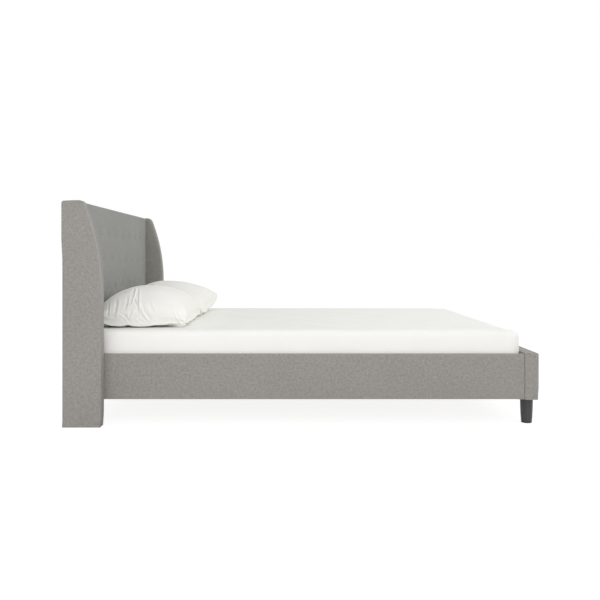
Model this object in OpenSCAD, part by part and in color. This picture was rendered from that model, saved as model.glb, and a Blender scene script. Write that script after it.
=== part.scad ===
// Upholstered wingback bed in queen size, with a slatted base, a mattress and two pillows.
// Millimetres. The origin is on the floor under the middle of the bed. +X runs from the
// headboard to the foot, +Y to the right as seen from the foot, and +Z is up.

/* [Mattress] */
// Length of the mattress
mattress_length = 2023; // [1950:1:2130]
// Width of the mattress
mattress_width = 1524; // [1370:1:1600]
// Height of the mattress at its sides
mattress_height = 205; // [150:1:260]
// How far the middle of the mattress stands above its sides
mattress_crown = 8; // [3:1:14]
// Rounding of the mattress along its top and bottom edges
mattress_edge_radius = 30; // [15:1:34]
// Rounding of the mattress's upright corners
mattress_corner_radius = 36; // [36:1:120]
// Thickness of the fitted sheet
sheet_thickness = 0.8; // [0.6:0.1:1.5]
// Width of the sheet's hem under the mattress
sheet_hem = 170; // [100:1:240]
// Space left between the mattress and the headboard or foot rail
mattress_end_gap = 3; // [3:0.5:15]
// Space left between the mattress and a side rail
mattress_side_gap = 4; // [3:0.5:15]

/* [Pillows] */
// Size of a pillow from the headboard towards the foot
pillow_depth = 454; // [400:1:500]
// Size of a pillow across the bed
pillow_width = 592; // [560:1:680]
// Height of a pillow at its fullest point
pillow_height = 190; // [140:1:230]
// Height of a pillow's seam above the mattress
pillow_seam_height = 18; // [12:1:50]
// Thickness of the pillow's edge at its seam
pillow_seam_thickness = 5; // [3:0.5:10]
// Space left between the two pillows
pillow_gap = 14; // [6:1:40]
// How much further from the headboard the right pillow lies than the left one
pillow_right_lead = 13; // [0:1:30]
// Place of the fullest point, as a share of the pillow's depth from the headboard
pillow_crest_place = 0.54; // [0.5:0.01:0.65]
// How far the middle of each pillow edge is drawn in, as a share of the pillow
pillow_draw_in = 0.035; // [0.01:0.005:0.06]

/* [Headboard] */
// Height of the headboard and its wings above the floor
headboard_height = 1023; // [960:1:1200]
// Thickness of the headboard's frame
head_frame_thickness = 22; // [20:1:40]
// Width of the headboard's posts
post_width = 70; // [60:1:100]
// Height of the headboard's top and middle rails
head_rail_height = 60; // [40:1:80]
// Height of the bottom rail, which the brackets and the centre beam are bolted to
head_bottom_rail_height = 90; // [85:1:120]
// Thickness of the plywood face board
face_board_thickness = 5; // [3:1:9]
// Thickness of the fabric back
back_cover_thickness = 2; // [1:0.5:4]
// Thickness of the fabric apron below the pad
apron_thickness = 2; // [1:0.5:4]
// Thickness of the roll over the headboard's top edge
top_roll_thickness = 12; // [8:1:20]

/* [Tufted pad] */
// Thickness of the tufted pad
pad_thickness = 38; // [28:1:50]
// Width of the pad's rounded border
pad_border = 22; // [16:1:40]
// Height of the pad's lower edge above the top of the side rails
pad_rise = 8; // [4:1:40]
// Distance between two buttons in a row
tuft_pitch = 172; // [140:1:200]
// Distance between two rows of buttons
tuft_row_pitch = 139; // [110:1:145]
// Number of rows of buttons
tuft_rows = 4; // [2:1:4]
// Distance from the top of the headboard to the first row of buttons
tuft_first_row = 135; // [110:1:160]
// How deep a button sinks into the pad
tuft_depth = 13; // [10:1:24]
// Depth of the folds that run from button to button
crease_depth = 5; // [2:1:12]
// Diameter of a button
button_diameter = 24; // [16:1:32]
// Height of a button at its middle
button_height = 7; // [5:0.5:12]

/* [Wings] */
// Depth of a wing at the floor, from back to front
wing_depth = 176; // [140:1:260]
// Depth of a wing at its top
wing_top_depth = 100; // [70:1:130]
// Thickness of a wing
wing_thickness = 60; // [50:1:90]
// Height up to which a wing's front edge is upright
wing_straight_height = 600; // [450:1:700]
// Thickness of the padding round a wing's core
wing_padding = 12; // [8:1:16]
// Thickness of the fabric over the back of a wing's core
wing_back_padding = 3; // [2:0.5:5]
// Rounding of a wing's edges
wing_edge_radius = 10; // [6:1:14]
// Rounding of a wing's front top corner
wing_front_corner = 16; // [12:1:40]
// Rounding of a wing's back top corner
wing_back_corner = 12; // [11:1:30]
// Height of the stretch at the floor that curves in under a wing's front edge
wing_toe_height = 84; // [40:1:110]
// How far that stretch curves in
wing_toe_in = 9; // [3:1:14]
// Thickness of the glides under the wings
wing_glide_thickness = 3; // [2:0.5:8]
// Diameter of those glides
wing_glide_diameter = 24; // [16:1:30]
// Distance from a wing's back to the middle of its rear glide
wing_glide_rear_inset = 40; // [25:1:55]
// Distance from a wing's front to the middle of its front glide
wing_glide_front_inset = 50; // [35:1:60]

/* [Side rails] */
// Height of the rails
rail_height = 211; // [200:1:280]
// Thickness of a side rail with its cover
rail_thickness = 24; // [22:1:40]
// Rounding of a side rail's edges
rail_edge_radius = 10; // [6:1:11]
// Thickness of the wadding and fabric round a side rail
rail_padding = 3; // [2:0.5:5]
// Free height under the rails
floor_clearance = 116; // [100:1:200]

/* [Foot rail] */
// Thickness of the foot rail with its cover
foot_thickness = 62; // [56:1:90]
// How far the foot rail stands past a side rail's outer face
foot_overhang = 13.5; // [5:0.5:20]
// Rounding of the foot rail's edges
foot_edge_radius = 11; // [6:1:11]
// Thickness of the wadding and fabric round the foot rail
foot_padding = 5; // [5:0.5:8]
// Thickness of each of the foot rail's two boards
foot_board_thickness = 13; // [10:0.5:15]
// Width of the blocks between the two boards
foot_block_width = 90; // [70:1:120]
// Thickness of the cover's fabric where it turns in under the boards
foot_lip_thickness = 2; // [1:0.5:3]
// Width of the fabric that turns in under the boards
foot_lip_width = 14; // [8:1:18]

/* [Legs] */
// Diameter of a leg at its top
leg_top_diameter = 58; // [50:1:60]
// Diameter of a leg at its bottom
leg_bottom_diameter = 49; // [40:1:50]
// Distance from the foot rail's outer face to a leg's middle
leg_inset = 35; // [32:1:36]
// Distance from the foot rail's end to a leg's middle
leg_side_inset = 65; // [60:1:120]
// Thickness of the glide under a leg
leg_glide_thickness = 5; // [3:0.5:8]

/* [Slatted base] */
// How far the slats' top lies below the top of the rails
slat_drop = 114; // [90:1:120]
// Width of a slat
slat_width = 68; // [50:1:90]
// Thickness of a slat
slat_thickness = 18; // [12:1:20]
// Rounding of a slat's edges
slat_edge_radius = 3; // [1:0.5:5]
// Distance from an end of the mattress to the middle of the nearest slat
slat_end_inset = 60; // [50:1:100]
// Width of a ledge
ledge_width = 28; // [20:1:34]
// Height of a ledge
ledge_height = 22; // [16:1:22]
// Width of the straps under the slats
strap_width = 30; // [20:1:50]
// Thickness of the straps
strap_thickness = 1.2; // [1:0.1:2]
// Distance from the bed's middle to a strap
strap_offset = 400; // [300:1:500]

/* [Centre beam] */
// Width of the centre beam
beam_width = 50; // [40:1:60]
// Height of the centre beam
beam_height = 60; // [50:1:62]
// Thickness of the steel of the hangers and brackets
steel_thickness = 3; // [2:0.5:3]
// How far a hanger reaches along the beam
hanger_reach = 50; // [35:1:70]
// Width of the lugs at the sides of a hanger
hanger_lug = 36; // [28:1:45]
// Distance between two centre legs
centre_leg_spacing = 500; // [350:1:600]
// Diameter of a centre leg
centre_leg_diameter = 32; // [26:1:40]
// Side of the square plate on top of a centre leg
centre_leg_plate = 60; // [50:1:80]
// Length of a centre leg's foot that shows, which is what the screw can take up and more
leveller_length = 27; // [26:0.5:32]
// Diameter of a centre leg's foot
leveller_diameter = 40; // [30:1:50]
// How far the foot can be screwed into the leg
leveller_travel = 15; // [5:1:15]

/* [Fasteners] */
// Diameter of the bolts
bolt_diameter = 8; // [6:1:8]
// Width across the flats of a bolt's head
bolt_head_width = 13; // [10:1:13]
// Height of a bolt's head
bolt_head_height = 5.3; // [4:0.1:6]
// Length of a corner bracket along the side rail
bracket_length = 70; // [50:1:100]
// Length of a corner bracket across the bed
bracket_width = 64; // [60:1:66]
// Height of a corner bracket
bracket_height = 50; // [44:1:50]
// Space between pieces that lie beside each other, and round a bolt in its hole
fit = 0.3; // [0.2:0.05:0.4]

/* [Hidden] */
$fn = 64;

// Colours of the materials
linen = [0.59, 0.58, 0.56];
pad_linen = [0.56, 0.56, 0.54];
back_cloth = [0.2, 0.2, 0.2];
pine = [0.82, 0.68, 0.48];
plywood = [0.76, 0.62, 0.44];
steel = [0.25, 0.26, 0.27];
zinc = [0.7, 0.7, 0.72];
charcoal_stain = [0.16, 0.155, 0.15];
nylon = [0.12, 0.12, 0.12];
webbing = [0.85, 0.84, 0.8];
white_cotton = [0.93, 0.93, 0.91];
ticking = [0.9, 0.9, 0.88];

// Sides of the bed
left = -1;
right = 1;
sides = [left, right];

// Along the bed, from the headboard's back to the foot rail's outer face
panel_thickness = back_cover_thickness + head_frame_thickness + face_board_thickness + pad_thickness;
bed_length = panel_thickness + mattress_length + 2 * mattress_end_gap + foot_thickness;
x_back = -bed_length / 2;
x_frame_back = x_back + back_cover_thickness;
x_frame_front = x_frame_back + head_frame_thickness;
x_board_front = x_frame_front + face_board_thickness;
x_apron_front = x_board_front + apron_thickness;
x_pad_front = x_board_front + pad_thickness;
x_mattress_head = x_pad_front + mattress_end_gap;
x_mattress_foot = x_mattress_head + mattress_length;
x_foot_back = x_mattress_foot + mattress_end_gap;
x_foot_front = x_foot_back + foot_thickness;
x_mattress_middle = (x_mattress_head + x_mattress_foot) / 2;

// Across the bed, from its middle outwards
y_rail_inner = mattress_width / 2 + mattress_side_gap;
y_rail_outer = y_rail_inner + rail_thickness;
y_wing_outer = y_rail_outer + wing_thickness;
y_foot_end = y_rail_outer + foot_overhang;
y_post_inner = y_rail_outer - post_width;

// Heights above the floor
z_rail_bottom = floor_clearance;
z_rail_top = floor_clearance + rail_height;
z_slat_top = z_rail_top - slat_drop;
z_slat_bottom = z_slat_top - slat_thickness;
z_frame_top = headboard_height - top_roll_thickness;
z_pad_bottom = z_rail_top + pad_rise;
z_bracket_top = z_slat_bottom - ledge_height - 2;
z_bracket_bottom = z_bracket_top - bracket_height;
z_beam_bottom = z_slat_bottom - beam_height;
z_sheet_bottom = z_slat_top + fit;
sheet_gap = fit;
z_mattress_bottom = z_sheet_bottom + sheet_thickness + sheet_gap;
z_mattress_sides = z_mattress_bottom + mattress_height;

// Bolts: their holes, how far they reach into wood, and their places
bolt_hole = bolt_diameter + 2 * fit;
bolt_grip = 21;
wing_bolt_bite = 24;
bolt_row_spacing = 26;
bracket_bolt_reach = bracket_length / 2 + 4;
y_bracket_bolt = y_rail_inner - bracket_width / 2 - 4;
z_bracket_middle = z_bracket_bottom + bracket_height / 2;
bracket_bolt_heights = [for (end = [-1, 1]) z_bracket_middle + end * bolt_row_spacing / 2];
hanger_bolt_places = [for (side = sides) side * (beam_width / 2 + steel_thickness + hanger_lug / 2)];
z_hanger_bolt = z_beam_bottom + beam_height / 2;
x_wing_bolt = (x_frame_back + x_frame_front) / 2;
lower_bolt_rise = 24;
middle_bolt_drop = 90;
upper_bolt_drop = 70;
wing_bolt_heights = [
    z_rail_bottom + head_bottom_rail_height + lower_bolt_rise,
    (z_rail_top + z_frame_top) / 2 - middle_bolt_drop,
    z_frame_top - head_rail_height - upper_bolt_drop];

// A rectangular block between its lowest and its highest corner
module block(low, high) {
    translate(low) cube(high - low);
}

// The left half's shape, or its mirror image on the right
module on_side(side) {
    mirror([0, side == right ? 1 : 0, 0]) children();
}

// A flat shape drawn in Y and Z, drawn out along X
module along_x(x_from, x_to) {
    translate([x_from, 0, 0]) rotate([90, 0, 90]) linear_extrude(x_to - x_from) children();
}

// A flat shape drawn in X and Z, drawn out along Y
module along_y(y_from, y_to) {
    translate([0, y_to, 0]) rotate([90, 0, 0]) linear_extrude(y_to - y_from) children();
}

// A rectangle with round corners, given by its lowest and highest corner
module round_rectangle(low, high, radius) {
    size = high - low;
    translate(low + [radius, 0]) square([size.x - 2 * radius, size.y]);
    translate(low + [0, radius]) square([size.x, size.y - 2 * radius]);
    for (x = [low.x + radius, high.x - radius], y = [low.y + radius, high.y - radius])
        translate([x, y]) circle(radius);
}

// A round bar or hole from one point along a direction that is X, Y or Z
module rod_x(from, length, diameter) {
    translate(from) rotate([0, 90, 0]) cylinder(h = length, d = diameter);
}

module rod_y(from, length, diameter) {
    translate(from) rotate([-90, 0, 0]) cylinder(h = length, d = diameter);
}

// A bolt along +Z whose head lies on the far side of z = 0
module bolt(length) {
    cylinder(h = length, d = bolt_diameter);
    translate([0, 0, -bolt_head_height])
        cylinder(h = bolt_head_height, d = bolt_head_width / cos(30), $fn = 6);
}

// Points of an arc, both ends included
function arc_points(centre, radius, from, to, steps) =
    [for (i = [0:steps]) let (a = from + (to - from) * i / steps)
        centre + radius * [cos(a), sin(a)]];

// Soft pads: a grid of points on the upper face, one on the lower face, and a band that joins
// their borders. upper(x, y) and lower(x, y) give the heights, plan(x, y) the place in plan.
function grid_face(rows, columns, first, up) =
    [for (i = [0:rows - 2], j = [0:columns - 2])
        let (a = first + i * columns + j, b = a + 1, c = a + columns, d = c + 1)
        each up ? [[a, b, d], [a, d, c]] : [[a, d, b], [a, c, d]]];

function grid_border(rows, columns) = concat(
    [for (j = [0:columns - 2]) j],
    [for (i = [0:rows - 2]) i * columns + columns - 1],
    [for (j = [columns - 1:-1:1]) (rows - 1) * columns + j],
    [for (i = [rows - 1:-1:1]) i * columns]);

module soft_pad(xs, ys, plan, upper, lower) {
    rows = len(xs);
    columns = len(ys);
    count = rows * columns;
    border = grid_border(rows, columns);
    top_points = [for (x = xs, y = ys) let (p = plan(x, y)) [p.x, p.y, upper(x, y)]];
    low_points = [for (x = xs, y = ys) let (p = plan(x, y)) [p.x, p.y, lower(x, y)]];
    band = [for (k = [0:len(border) - 1])
        let (a = border[k], b = border[(k + 1) % len(border)])
        each [[a, a + count, b + count], [a, b + count, b]]];
    polyhedron(
        points = concat(top_points, low_points),
        faces = concat(grid_face(rows, columns, 0, true), grid_face(rows, columns, count, false), band));
}

// Grid lines across a pad of a given half size: close together where its edge turns
function pad_lines(half, edge, turns, spans) = concat(
    [for (i = [0:turns - 1]) -half + edge * (1 - cos(90 * i / turns))],
    [for (i = [0:spans]) (half - edge) * (2 * i / spans - 1)],
    [for (i = [turns - 1:-1:0]) half - edge * (1 - cos(90 * i / turns))]);

// How far a rounded edge has dropped at a distance from the pad's border
function edge_drop(distance, radius) =
    distance >= radius ? 0 : radius - sqrt(max(0, radius ^ 2 - (radius - distance) ^ 2));

// A square corner region pushed into a quarter disc
function corner_place(place, half, radius) =
    let (over = [abs(place.x) - half.x + radius, abs(place.y) - half.y + radius])
    over.x <= 0 || over.y <= 0 ? place :
    let (a = over.x / radius, b = over.y / radius)
    [sign(place.x) * (half.x - radius + radius * a * sqrt(1 - b ^ 2 / 2)),
     sign(place.y) * (half.y - radius + radius * b * sqrt(1 - a ^ 2 / 2))];

mattress_half = [mattress_length / 2, mattress_width / 2];

// Height of the mattress's crowned top, without its rounded edges
function mattress_top(place) = z_mattress_sides + mattress_crown
    * (1 - (place.x / mattress_half.x) ^ 2) * (1 - (place.y / mattress_half.y) ^ 2);

// The mattress's shape, grown by the same amount on every face
module mattress_shape(grow) {
    half = mattress_half + [grow, grow];
    edge = mattress_edge_radius + grow;
    corner = mattress_corner_radius + grow;
    inside = function(x, y) min(half.x - abs(x), half.y - abs(y));
    translate([x_mattress_middle, 0, 0])
        soft_pad(
            pad_lines(half.x, edge, 3, 10), pad_lines(half.y, edge, 3, 8),
            function(x, y) corner_place([x, y], half, corner),
            function(x, y) grow + mattress_top([
                x * mattress_half.x / half.x, y * mattress_half.y / half.y])
                - edge_drop(inside(x, y), edge),
            function(x, y) z_mattress_bottom - grow + edge_drop(inside(x, y), edge));
}

// The mattress
module mattress() {
    color(ticking) mattress_shape(0);
}

// The sheet stretched over the mattress, with a hem that holds it underneath
module fitted_sheet() {
    opening = mattress_half - [sheet_hem, sheet_hem];
    color(white_cotton) difference() {
        mattress_shape(sheet_gap + sheet_thickness);
        mattress_shape(sheet_gap);
        block(
            [x_mattress_middle - opening.x, -opening.y, z_slat_top],
            [x_mattress_middle + opening.x, opening.y, z_mattress_bottom]);
    }
}

// How full a pillow is at an offset from its middle: the form gives how flat its top and how steep its side is
function swell(offset, reach, form) = max(0, 1 - (abs(offset) / reach) ^ form[0]) ^ form[1];

swell_at_headboard = [3.1, 0.42];
swell_at_front = [1.9, 0.3];
swell_across = [2.8, 0.42];

// Fullness of a pillow, 0 at its seam and 1 at its crest
function pillow_fullness(u, v) =
    (u < pillow_crest_place
        ? swell(u - pillow_crest_place, pillow_crest_place, swell_at_headboard)
        : swell(u - pillow_crest_place, 1 - pillow_crest_place, swell_at_front))
    * swell(v - 0.5, 0.5, swell_across);

// Shares of a pillow's size at which its grid lines run: closer together near the seam
function pillow_shares(spans) = [for (i = [0:spans]) (1 - cos(180 * i / spans)) / 2];

// A pillow lying on the sheet against the headboard, with its seam drawn in along each edge
module pillow(side) {
    x_start = x_pad_front + 2 * fit + (side == left ? 0 : pillow_right_lead);
    y_start = pillow_gap / 2;
    rest = sheet_gap + sheet_thickness + fit;
    at_place = function(u, v) [
        x_start + pillow_depth * (0.5 + (u - 0.5) * (1 - pillow_draw_in * 4 * v * (1 - v))),
        y_start + pillow_width * (0.5 + (v - 0.5) * (1 - pillow_draw_in * 4 * u * (1 - u)))];
    under = function(u, v) rest + mattress_top(at_place(u, v) - [x_mattress_middle, 0])
        + pillow_seam_height * (1 - pillow_fullness(u, v)) ^ 1.5;
    full = pillow_height - pillow_seam_thickness;
    color(white_cotton) mirror([0, side == left ? 1 : 0, 0])
        soft_pad(
            pillow_shares(20), pillow_shares(18), at_place,
            function(u, v) under(u, v) + pillow_seam_thickness + full * pillow_fullness(u, v),
            under);
}

module pillow_left() {
    pillow(left);
}

module pillow_right() {
    pillow(right);
}

// The headboard's frame: two posts and three rails between them
module head_post(side) {
    color(pine) on_side(side) difference() {
        block(
            [x_frame_back, -y_rail_outer, z_rail_bottom], [x_frame_front, -y_post_inner, z_frame_top]);
        for (z = wing_bolt_heights)
            rod_y([x_wing_bolt, -y_rail_outer - 1, z], post_width + 2, bolt_hole);
        for (z = bracket_bolt_heights)
            rod_x([x_frame_front - bolt_grip, -y_bracket_bolt, z], bolt_grip + 1, bolt_hole);
    }
}

module head_post_left() {
    head_post(left);
}

module head_post_right() {
    head_post(right);
}

module head_rail(z_from, height) {
    block(
        [x_frame_back, -y_post_inner, z_from], [x_frame_front, y_post_inner, z_from + height]);
}

module head_top_rail() {
    color(pine) head_rail(z_frame_top - head_rail_height, head_rail_height);
}

module head_mid_rail() {
    color(pine) head_rail(z_rail_top, head_rail_height);
}

// The bottom rail also takes the bolts of the beam's hanger
module head_bottom_rail() {
    color(pine) difference() {
        head_rail(z_rail_bottom, head_bottom_rail_height);
        for (y = hanger_bolt_places)
            rod_x([x_frame_front - bolt_grip, y, z_hanger_bolt], bolt_grip + 1, bolt_hole);
    }
}

// The bolt holes of the brackets and the hanger, through whatever covers the bottom rail and posts
module head_bolt_holes(x_from, x_to) {
    for (side = sides, z = bracket_bolt_heights)
        rod_x([x_from, side * y_bracket_bolt, z], x_to - x_from, bolt_hole);
    for (y = hanger_bolt_places)
        rod_x([x_from, y, z_hanger_bolt], x_to - x_from, bolt_hole);
}

// The plywood that the pad is pulled onto
module head_face_board() {
    color(plywood) difference() {
        block([x_frame_front, -y_rail_outer, z_rail_bottom], [x_board_front, y_rail_outer, z_frame_top]);
        head_bolt_holes(x_frame_front - 1, x_board_front + 1);
    }
}

// The thin cloth that closes the headboard's back
module head_back_cover() {
    color(back_cloth)
        block([x_back, -y_rail_outer, z_rail_bottom], [x_frame_back, y_rail_outer, z_frame_top]);
}

// The padded roll over the top edge, rounded towards the back
module head_top_roll() {
    radius = top_roll_thickness - 1;
    color(linen) along_y(-y_rail_outer + fit, y_rail_outer - fit) {
        translate([x_back + radius, z_frame_top])
            square([x_board_front - x_back - radius, top_roll_thickness]);
        translate([x_back, z_frame_top]) square([radius, top_roll_thickness - radius]);
        translate([x_back + radius, z_frame_top + top_roll_thickness - radius]) intersection() {
            circle(radius);
            translate([-radius, 0]) square(radius);
        }
    }
}

// The plain fabric between the pad and the headboard's lower edge
module head_apron() {
    color(pad_linen) difference() {
        block([x_board_front, -y_rail_outer, z_rail_bottom], [x_apron_front, y_rail_outer, z_pad_bottom]);
        head_bolt_holes(x_board_front - 1, x_apron_front + 1);
    }
}

// The tufts: rows of buttons, each row half a pitch beside the next
pad_half_width = y_rail_outer - fit;
pocket = button_diameter / 2 + 2;
z_first_tuft = headboard_height - tuft_first_row;
half_pitch = tuft_pitch / 2;
last_half_pitch = floor((pad_half_width - pad_border - pocket - 2) / half_pitch);

function tuft_height(row) = z_first_tuft - row * tuft_row_pitch;

// Places across the pad of the buttons of a row, in half pitches
function tuft_steps(row) =
    [for (k = [-last_half_pitch:last_half_pitch]) if (abs(k) % 2 == (row + 1) % 2) k];

// Depth of the pad's surface below its fullest, at a place across and a height
function tuft_dip(y, z) =
    let (
        row = (z_first_tuft - z) / tuft_row_pitch,
        across = y / tuft_pitch + 0.5,
        fold_a = cos(180 * (across + row / 2)) ^ 2,
        fold_b = cos(180 * (across - row / 2)) ^ 2)
    crease_depth * max(fold_a, fold_b) ^ 3 + (tuft_depth - crease_depth) * (fold_a * fold_b) ^ 6;

function in_pocket(y, z) =
    let (row = round((z_first_tuft - z) / tuft_row_pitch), k = round(y / half_pitch))
    row >= 0 && row < tuft_rows && abs(k) <= last_half_pitch && abs(k) % 2 == (row + 1) % 2
    && abs(z - tuft_height(row)) < pocket + 1 && abs(y - k * half_pitch) < pocket + 1;

function pad_front(y, z) =
    let (
        inside = min(pad_half_width - abs(y), headboard_height - z, z - z_pad_bottom),
        share = min(1, max(0, inside) / pad_border),
        border = sqrt(1 - (1 - share) ^ 2),
        dip = in_pocket(y, z) ? tuft_depth : min(tuft_depth - 1, tuft_dip(y, z)))
    x_board_front + (pad_thickness - dip) * border;

pad_edge_lines = [0, 0.3 * pad_border, pad_border];

pad_columns = concat(
    [for (d = pad_edge_lines) -pad_half_width + d],
    [for (k = [-last_half_pitch:last_half_pitch]) each [
        if (k == -last_half_pitch) (k - 0.5) * half_pitch,
        k * half_pitch - pocket,
        k * half_pitch + pocket,
        (k + 0.5) * half_pitch]],
    [for (i = [len(pad_edge_lines) - 1:-1:0]) pad_half_width - pad_edge_lines[i]]);

pad_heights = concat(
    [for (d = pad_edge_lines) z_pad_bottom + d],
    [tuft_height(tuft_rows - 0.5)],
    [for (row = [tuft_rows - 1:-1:0]) each [
        tuft_height(row) - pocket,
        tuft_height(row) + pocket,
        tuft_height(row - 0.5)]],
    [for (i = [len(pad_edge_lines) - 1:-1:0]) headboard_height - pad_edge_lines[i]]);

// The tufted pad: its back is flat on the face board, and the diagonals of its front run to the corners
module head_cushion() {
    columns = [for (k = [0:len(pad_columns) - 1])
        if (k == 0 || pad_columns[k] > pad_columns[k - 1] + 1) pad_columns[k]];
    heights = [for (k = [0:len(pad_heights) - 1])
        if (k == 0 || pad_heights[k] > pad_heights[k - 1] + 1) pad_heights[k]];
    rows = len(heights);
    across = len(columns);
    front = [for (z = heights, y = columns) [pad_front(y, z), y, z]];
    border = grid_border(rows, across);
    back_middle = [x_board_front, 0, (z_pad_bottom + headboard_height) / 2];
    back = [for (k = [0:len(border) - 1]) [border[k], border[(k + 1) % len(border)], rows * across]];
    cells = [for (i = [0:rows - 2], j = [0:across - 2])
        let (a = i * across + j, b = a + 1, c = a + across, d = c + 1)
        each (i < rows / 2) == (j < across / 2) ? [[a, d, b], [a, c, d]] : [[a, c, b], [b, c, d]]];
    color(pad_linen) polyhedron(points = concat(front, [back_middle]), faces = concat(cells, back));
}

// Covered buttons at the bottom of the tufts
module tuft_buttons() {
    x_seat = x_board_front + pad_thickness - tuft_depth + fit;
    radius = button_diameter / 2;
    rim = 2;
    dome = button_height - rim;
    ball = (radius ^ 2 + dome ^ 2) / (2 * dome);
    color(pad_linen) for (row = [0:tuft_rows - 1], k = tuft_steps(row))
        translate([x_seat, k * half_pitch, tuft_height(row)]) rotate([0, 90, 0]) rotate_extrude()
            intersection() {
                translate([0, button_height - ball]) circle(ball);
                square([radius, button_height]);
            }
}

// Outline of a wing in X and Z, from its lower back corner round its front edge
z_wing_bottom = wing_glide_thickness;
sweep_run = wing_depth - wing_top_depth;
sweep_rise = headboard_height - wing_front_corner - wing_straight_height;
sweep_radius = (sweep_rise ^ 2 + sweep_run ^ 2) / (2 * sweep_run);
toe_radius = (wing_toe_height ^ 2 + wing_toe_in ^ 2) / (2 * wing_toe_in);
wing_outline =
    let (
        toe_angle = asin(wing_toe_height / toe_radius),
        sweep_centre = [x_back + wing_depth - sweep_radius, wing_straight_height],
        sweep_angle = asin(sweep_rise / (sweep_radius - wing_front_corner)),
        front_corner = sweep_centre + (sweep_radius - wing_front_corner) * [cos(sweep_angle), sin(sweep_angle)],
        back_corner = [x_back + wing_back_corner, headboard_height - wing_back_corner])
    concat(
        [[x_back, z_wing_bottom]],
        arc_points(
            [x_back + wing_depth - toe_radius, z_wing_bottom + wing_toe_height], toe_radius, -toe_angle, 0, 5),
        arc_points(sweep_centre, sweep_radius, 0, sweep_angle, 10),
        [for (i = [1:5]) arc_points(front_corner, wing_front_corner, sweep_angle, 90, 5)[i]],
        arc_points(back_corner, wing_back_corner, 90, 180, 4));

// A wing's shape with rounded edges all round, drawn in by the same amount on every face
module wing_layer(inset, thickness) {
    y_middle = y_rail_outer + wing_thickness / 2;
    along_y(-y_middle - thickness / 2, -y_middle + thickness / 2)
        offset(delta = -inset) polygon(wing_outline);
}

// The space of a wing's core: padded at the front and sides, bare at the back, open below
module wing_core_space(clearance, below) {
    inset = wing_padding - clearance;
    back = x_back + wing_back_padding - clearance;
    wing_layer(inset, wing_thickness - 2 * inset);
    block(
        [back, -y_wing_outer + inset, z_wing_bottom - below],
        [x_back + wing_padding + 1, -y_rail_outer - inset, headboard_height - inset]);
    block(
        [back, -y_wing_outer + inset, z_wing_bottom - below],
        [x_back + wing_depth - wing_toe_in - inset, -y_rail_outer - inset, z_wing_bottom + 2 * wing_padding]);
}

module wing_cover(side) {
    steps = 4;
    color(linen) on_side(side) difference() {
        hull() for (i = [0:steps]) let (a = 90 * i / steps)
            wing_layer(
                wing_edge_radius * (1 - sin(a)), wing_thickness - 2 * wing_edge_radius * (1 - cos(a)));
        wing_core_space(fit, 1);
        wing_bolt_holes(-y_rail_outer - wing_padding - 1, wing_padding + 2);
    }
}

module wing_bolt_holes(y_from, length) {
    for (z = wing_bolt_heights)
        rod_y([x_wing_bolt, y_from, z], length, bolt_hole);
}

module wing_cover_left() {
    wing_cover(left);
}

module wing_cover_right() {
    wing_cover(right);
}

// The board inside a wing, drilled for the bolts and standing on the glides
module wing_core(side) {
    color(plywood) on_side(side) difference() {
        wing_core_space(0, 0);
        wing_bolt_holes(-y_rail_outer - wing_padding - wing_bolt_bite - 1, wing_bolt_bite + 2);
    }
}

module wing_core_left() {
    wing_core(left);
}

module wing_core_right() {
    wing_core(right);
}

// Bolts from inside the headboard through its posts into the wings
module wing_bolts() {
    length = post_width + wing_padding + wing_bolt_bite;
    color(zinc) for (side = sides) on_side(side) for (z = wing_bolt_heights)
        translate([x_wing_bolt, -y_post_inner, z]) rotate([90, 0, 0]) bolt(length);
}

// Two glides under each wing
module wing_glides() {
    places = [x_back + wing_glide_rear_inset, x_back + wing_depth - wing_glide_front_inset];
    color(nylon) for (side = sides, x = places)
        translate([x, side * (y_rail_outer + wing_thickness / 2), 0])
            cylinder(h = wing_glide_thickness, d = wing_glide_diameter);
}

// Side rails: a board inside a tube of wadding and linen
module rail_profile(inset) {
    round_rectangle(
        [-y_rail_outer + inset, z_rail_bottom + inset], [-y_rail_inner - inset, z_rail_top - inset],
        rail_edge_radius - inset);
}

module rail_bolt_holes() {
    for (x = [x_apron_front + steel_thickness + bracket_bolt_reach, x_foot_back - steel_thickness - bracket_bolt_reach])
        for (z = bracket_bolt_heights)
            rod_y([x, -y_rail_inner - bolt_grip + steel_thickness, z], bolt_grip, bolt_hole);
}

module rail_board(side) {
    color(pine) on_side(side) difference() {
        along_x(x_apron_front, x_foot_back) rail_profile(rail_padding + fit / 2);
        rail_bolt_holes();
    }
}

module rail_cover(side) {
    color(linen) on_side(side) difference() {
        along_x(x_apron_front, x_foot_back) difference() {
            rail_profile(0);
            rail_profile(rail_padding);
        }
        rail_bolt_holes();
    }
}

module rail_board_left() {
    rail_board(left);
}

module rail_board_right() {
    rail_board(right);
}

module rail_cover_left() {
    rail_cover(left);
}

module rail_cover_right() {
    rail_cover(right);
}

// The ledge along the inside of a rail that the slats' ends lie on
module slat_ledge(side) {
    color(pine) on_side(side)
        block(
            [x_apron_front, -y_rail_inner, z_slat_bottom - ledge_height],
            [x_foot_back, -y_rail_inner + ledge_width, z_slat_bottom]);
}

module slat_ledge_left() {
    slat_ledge(left);
}

module slat_ledge_right() {
    slat_ledge(right);
}

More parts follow.
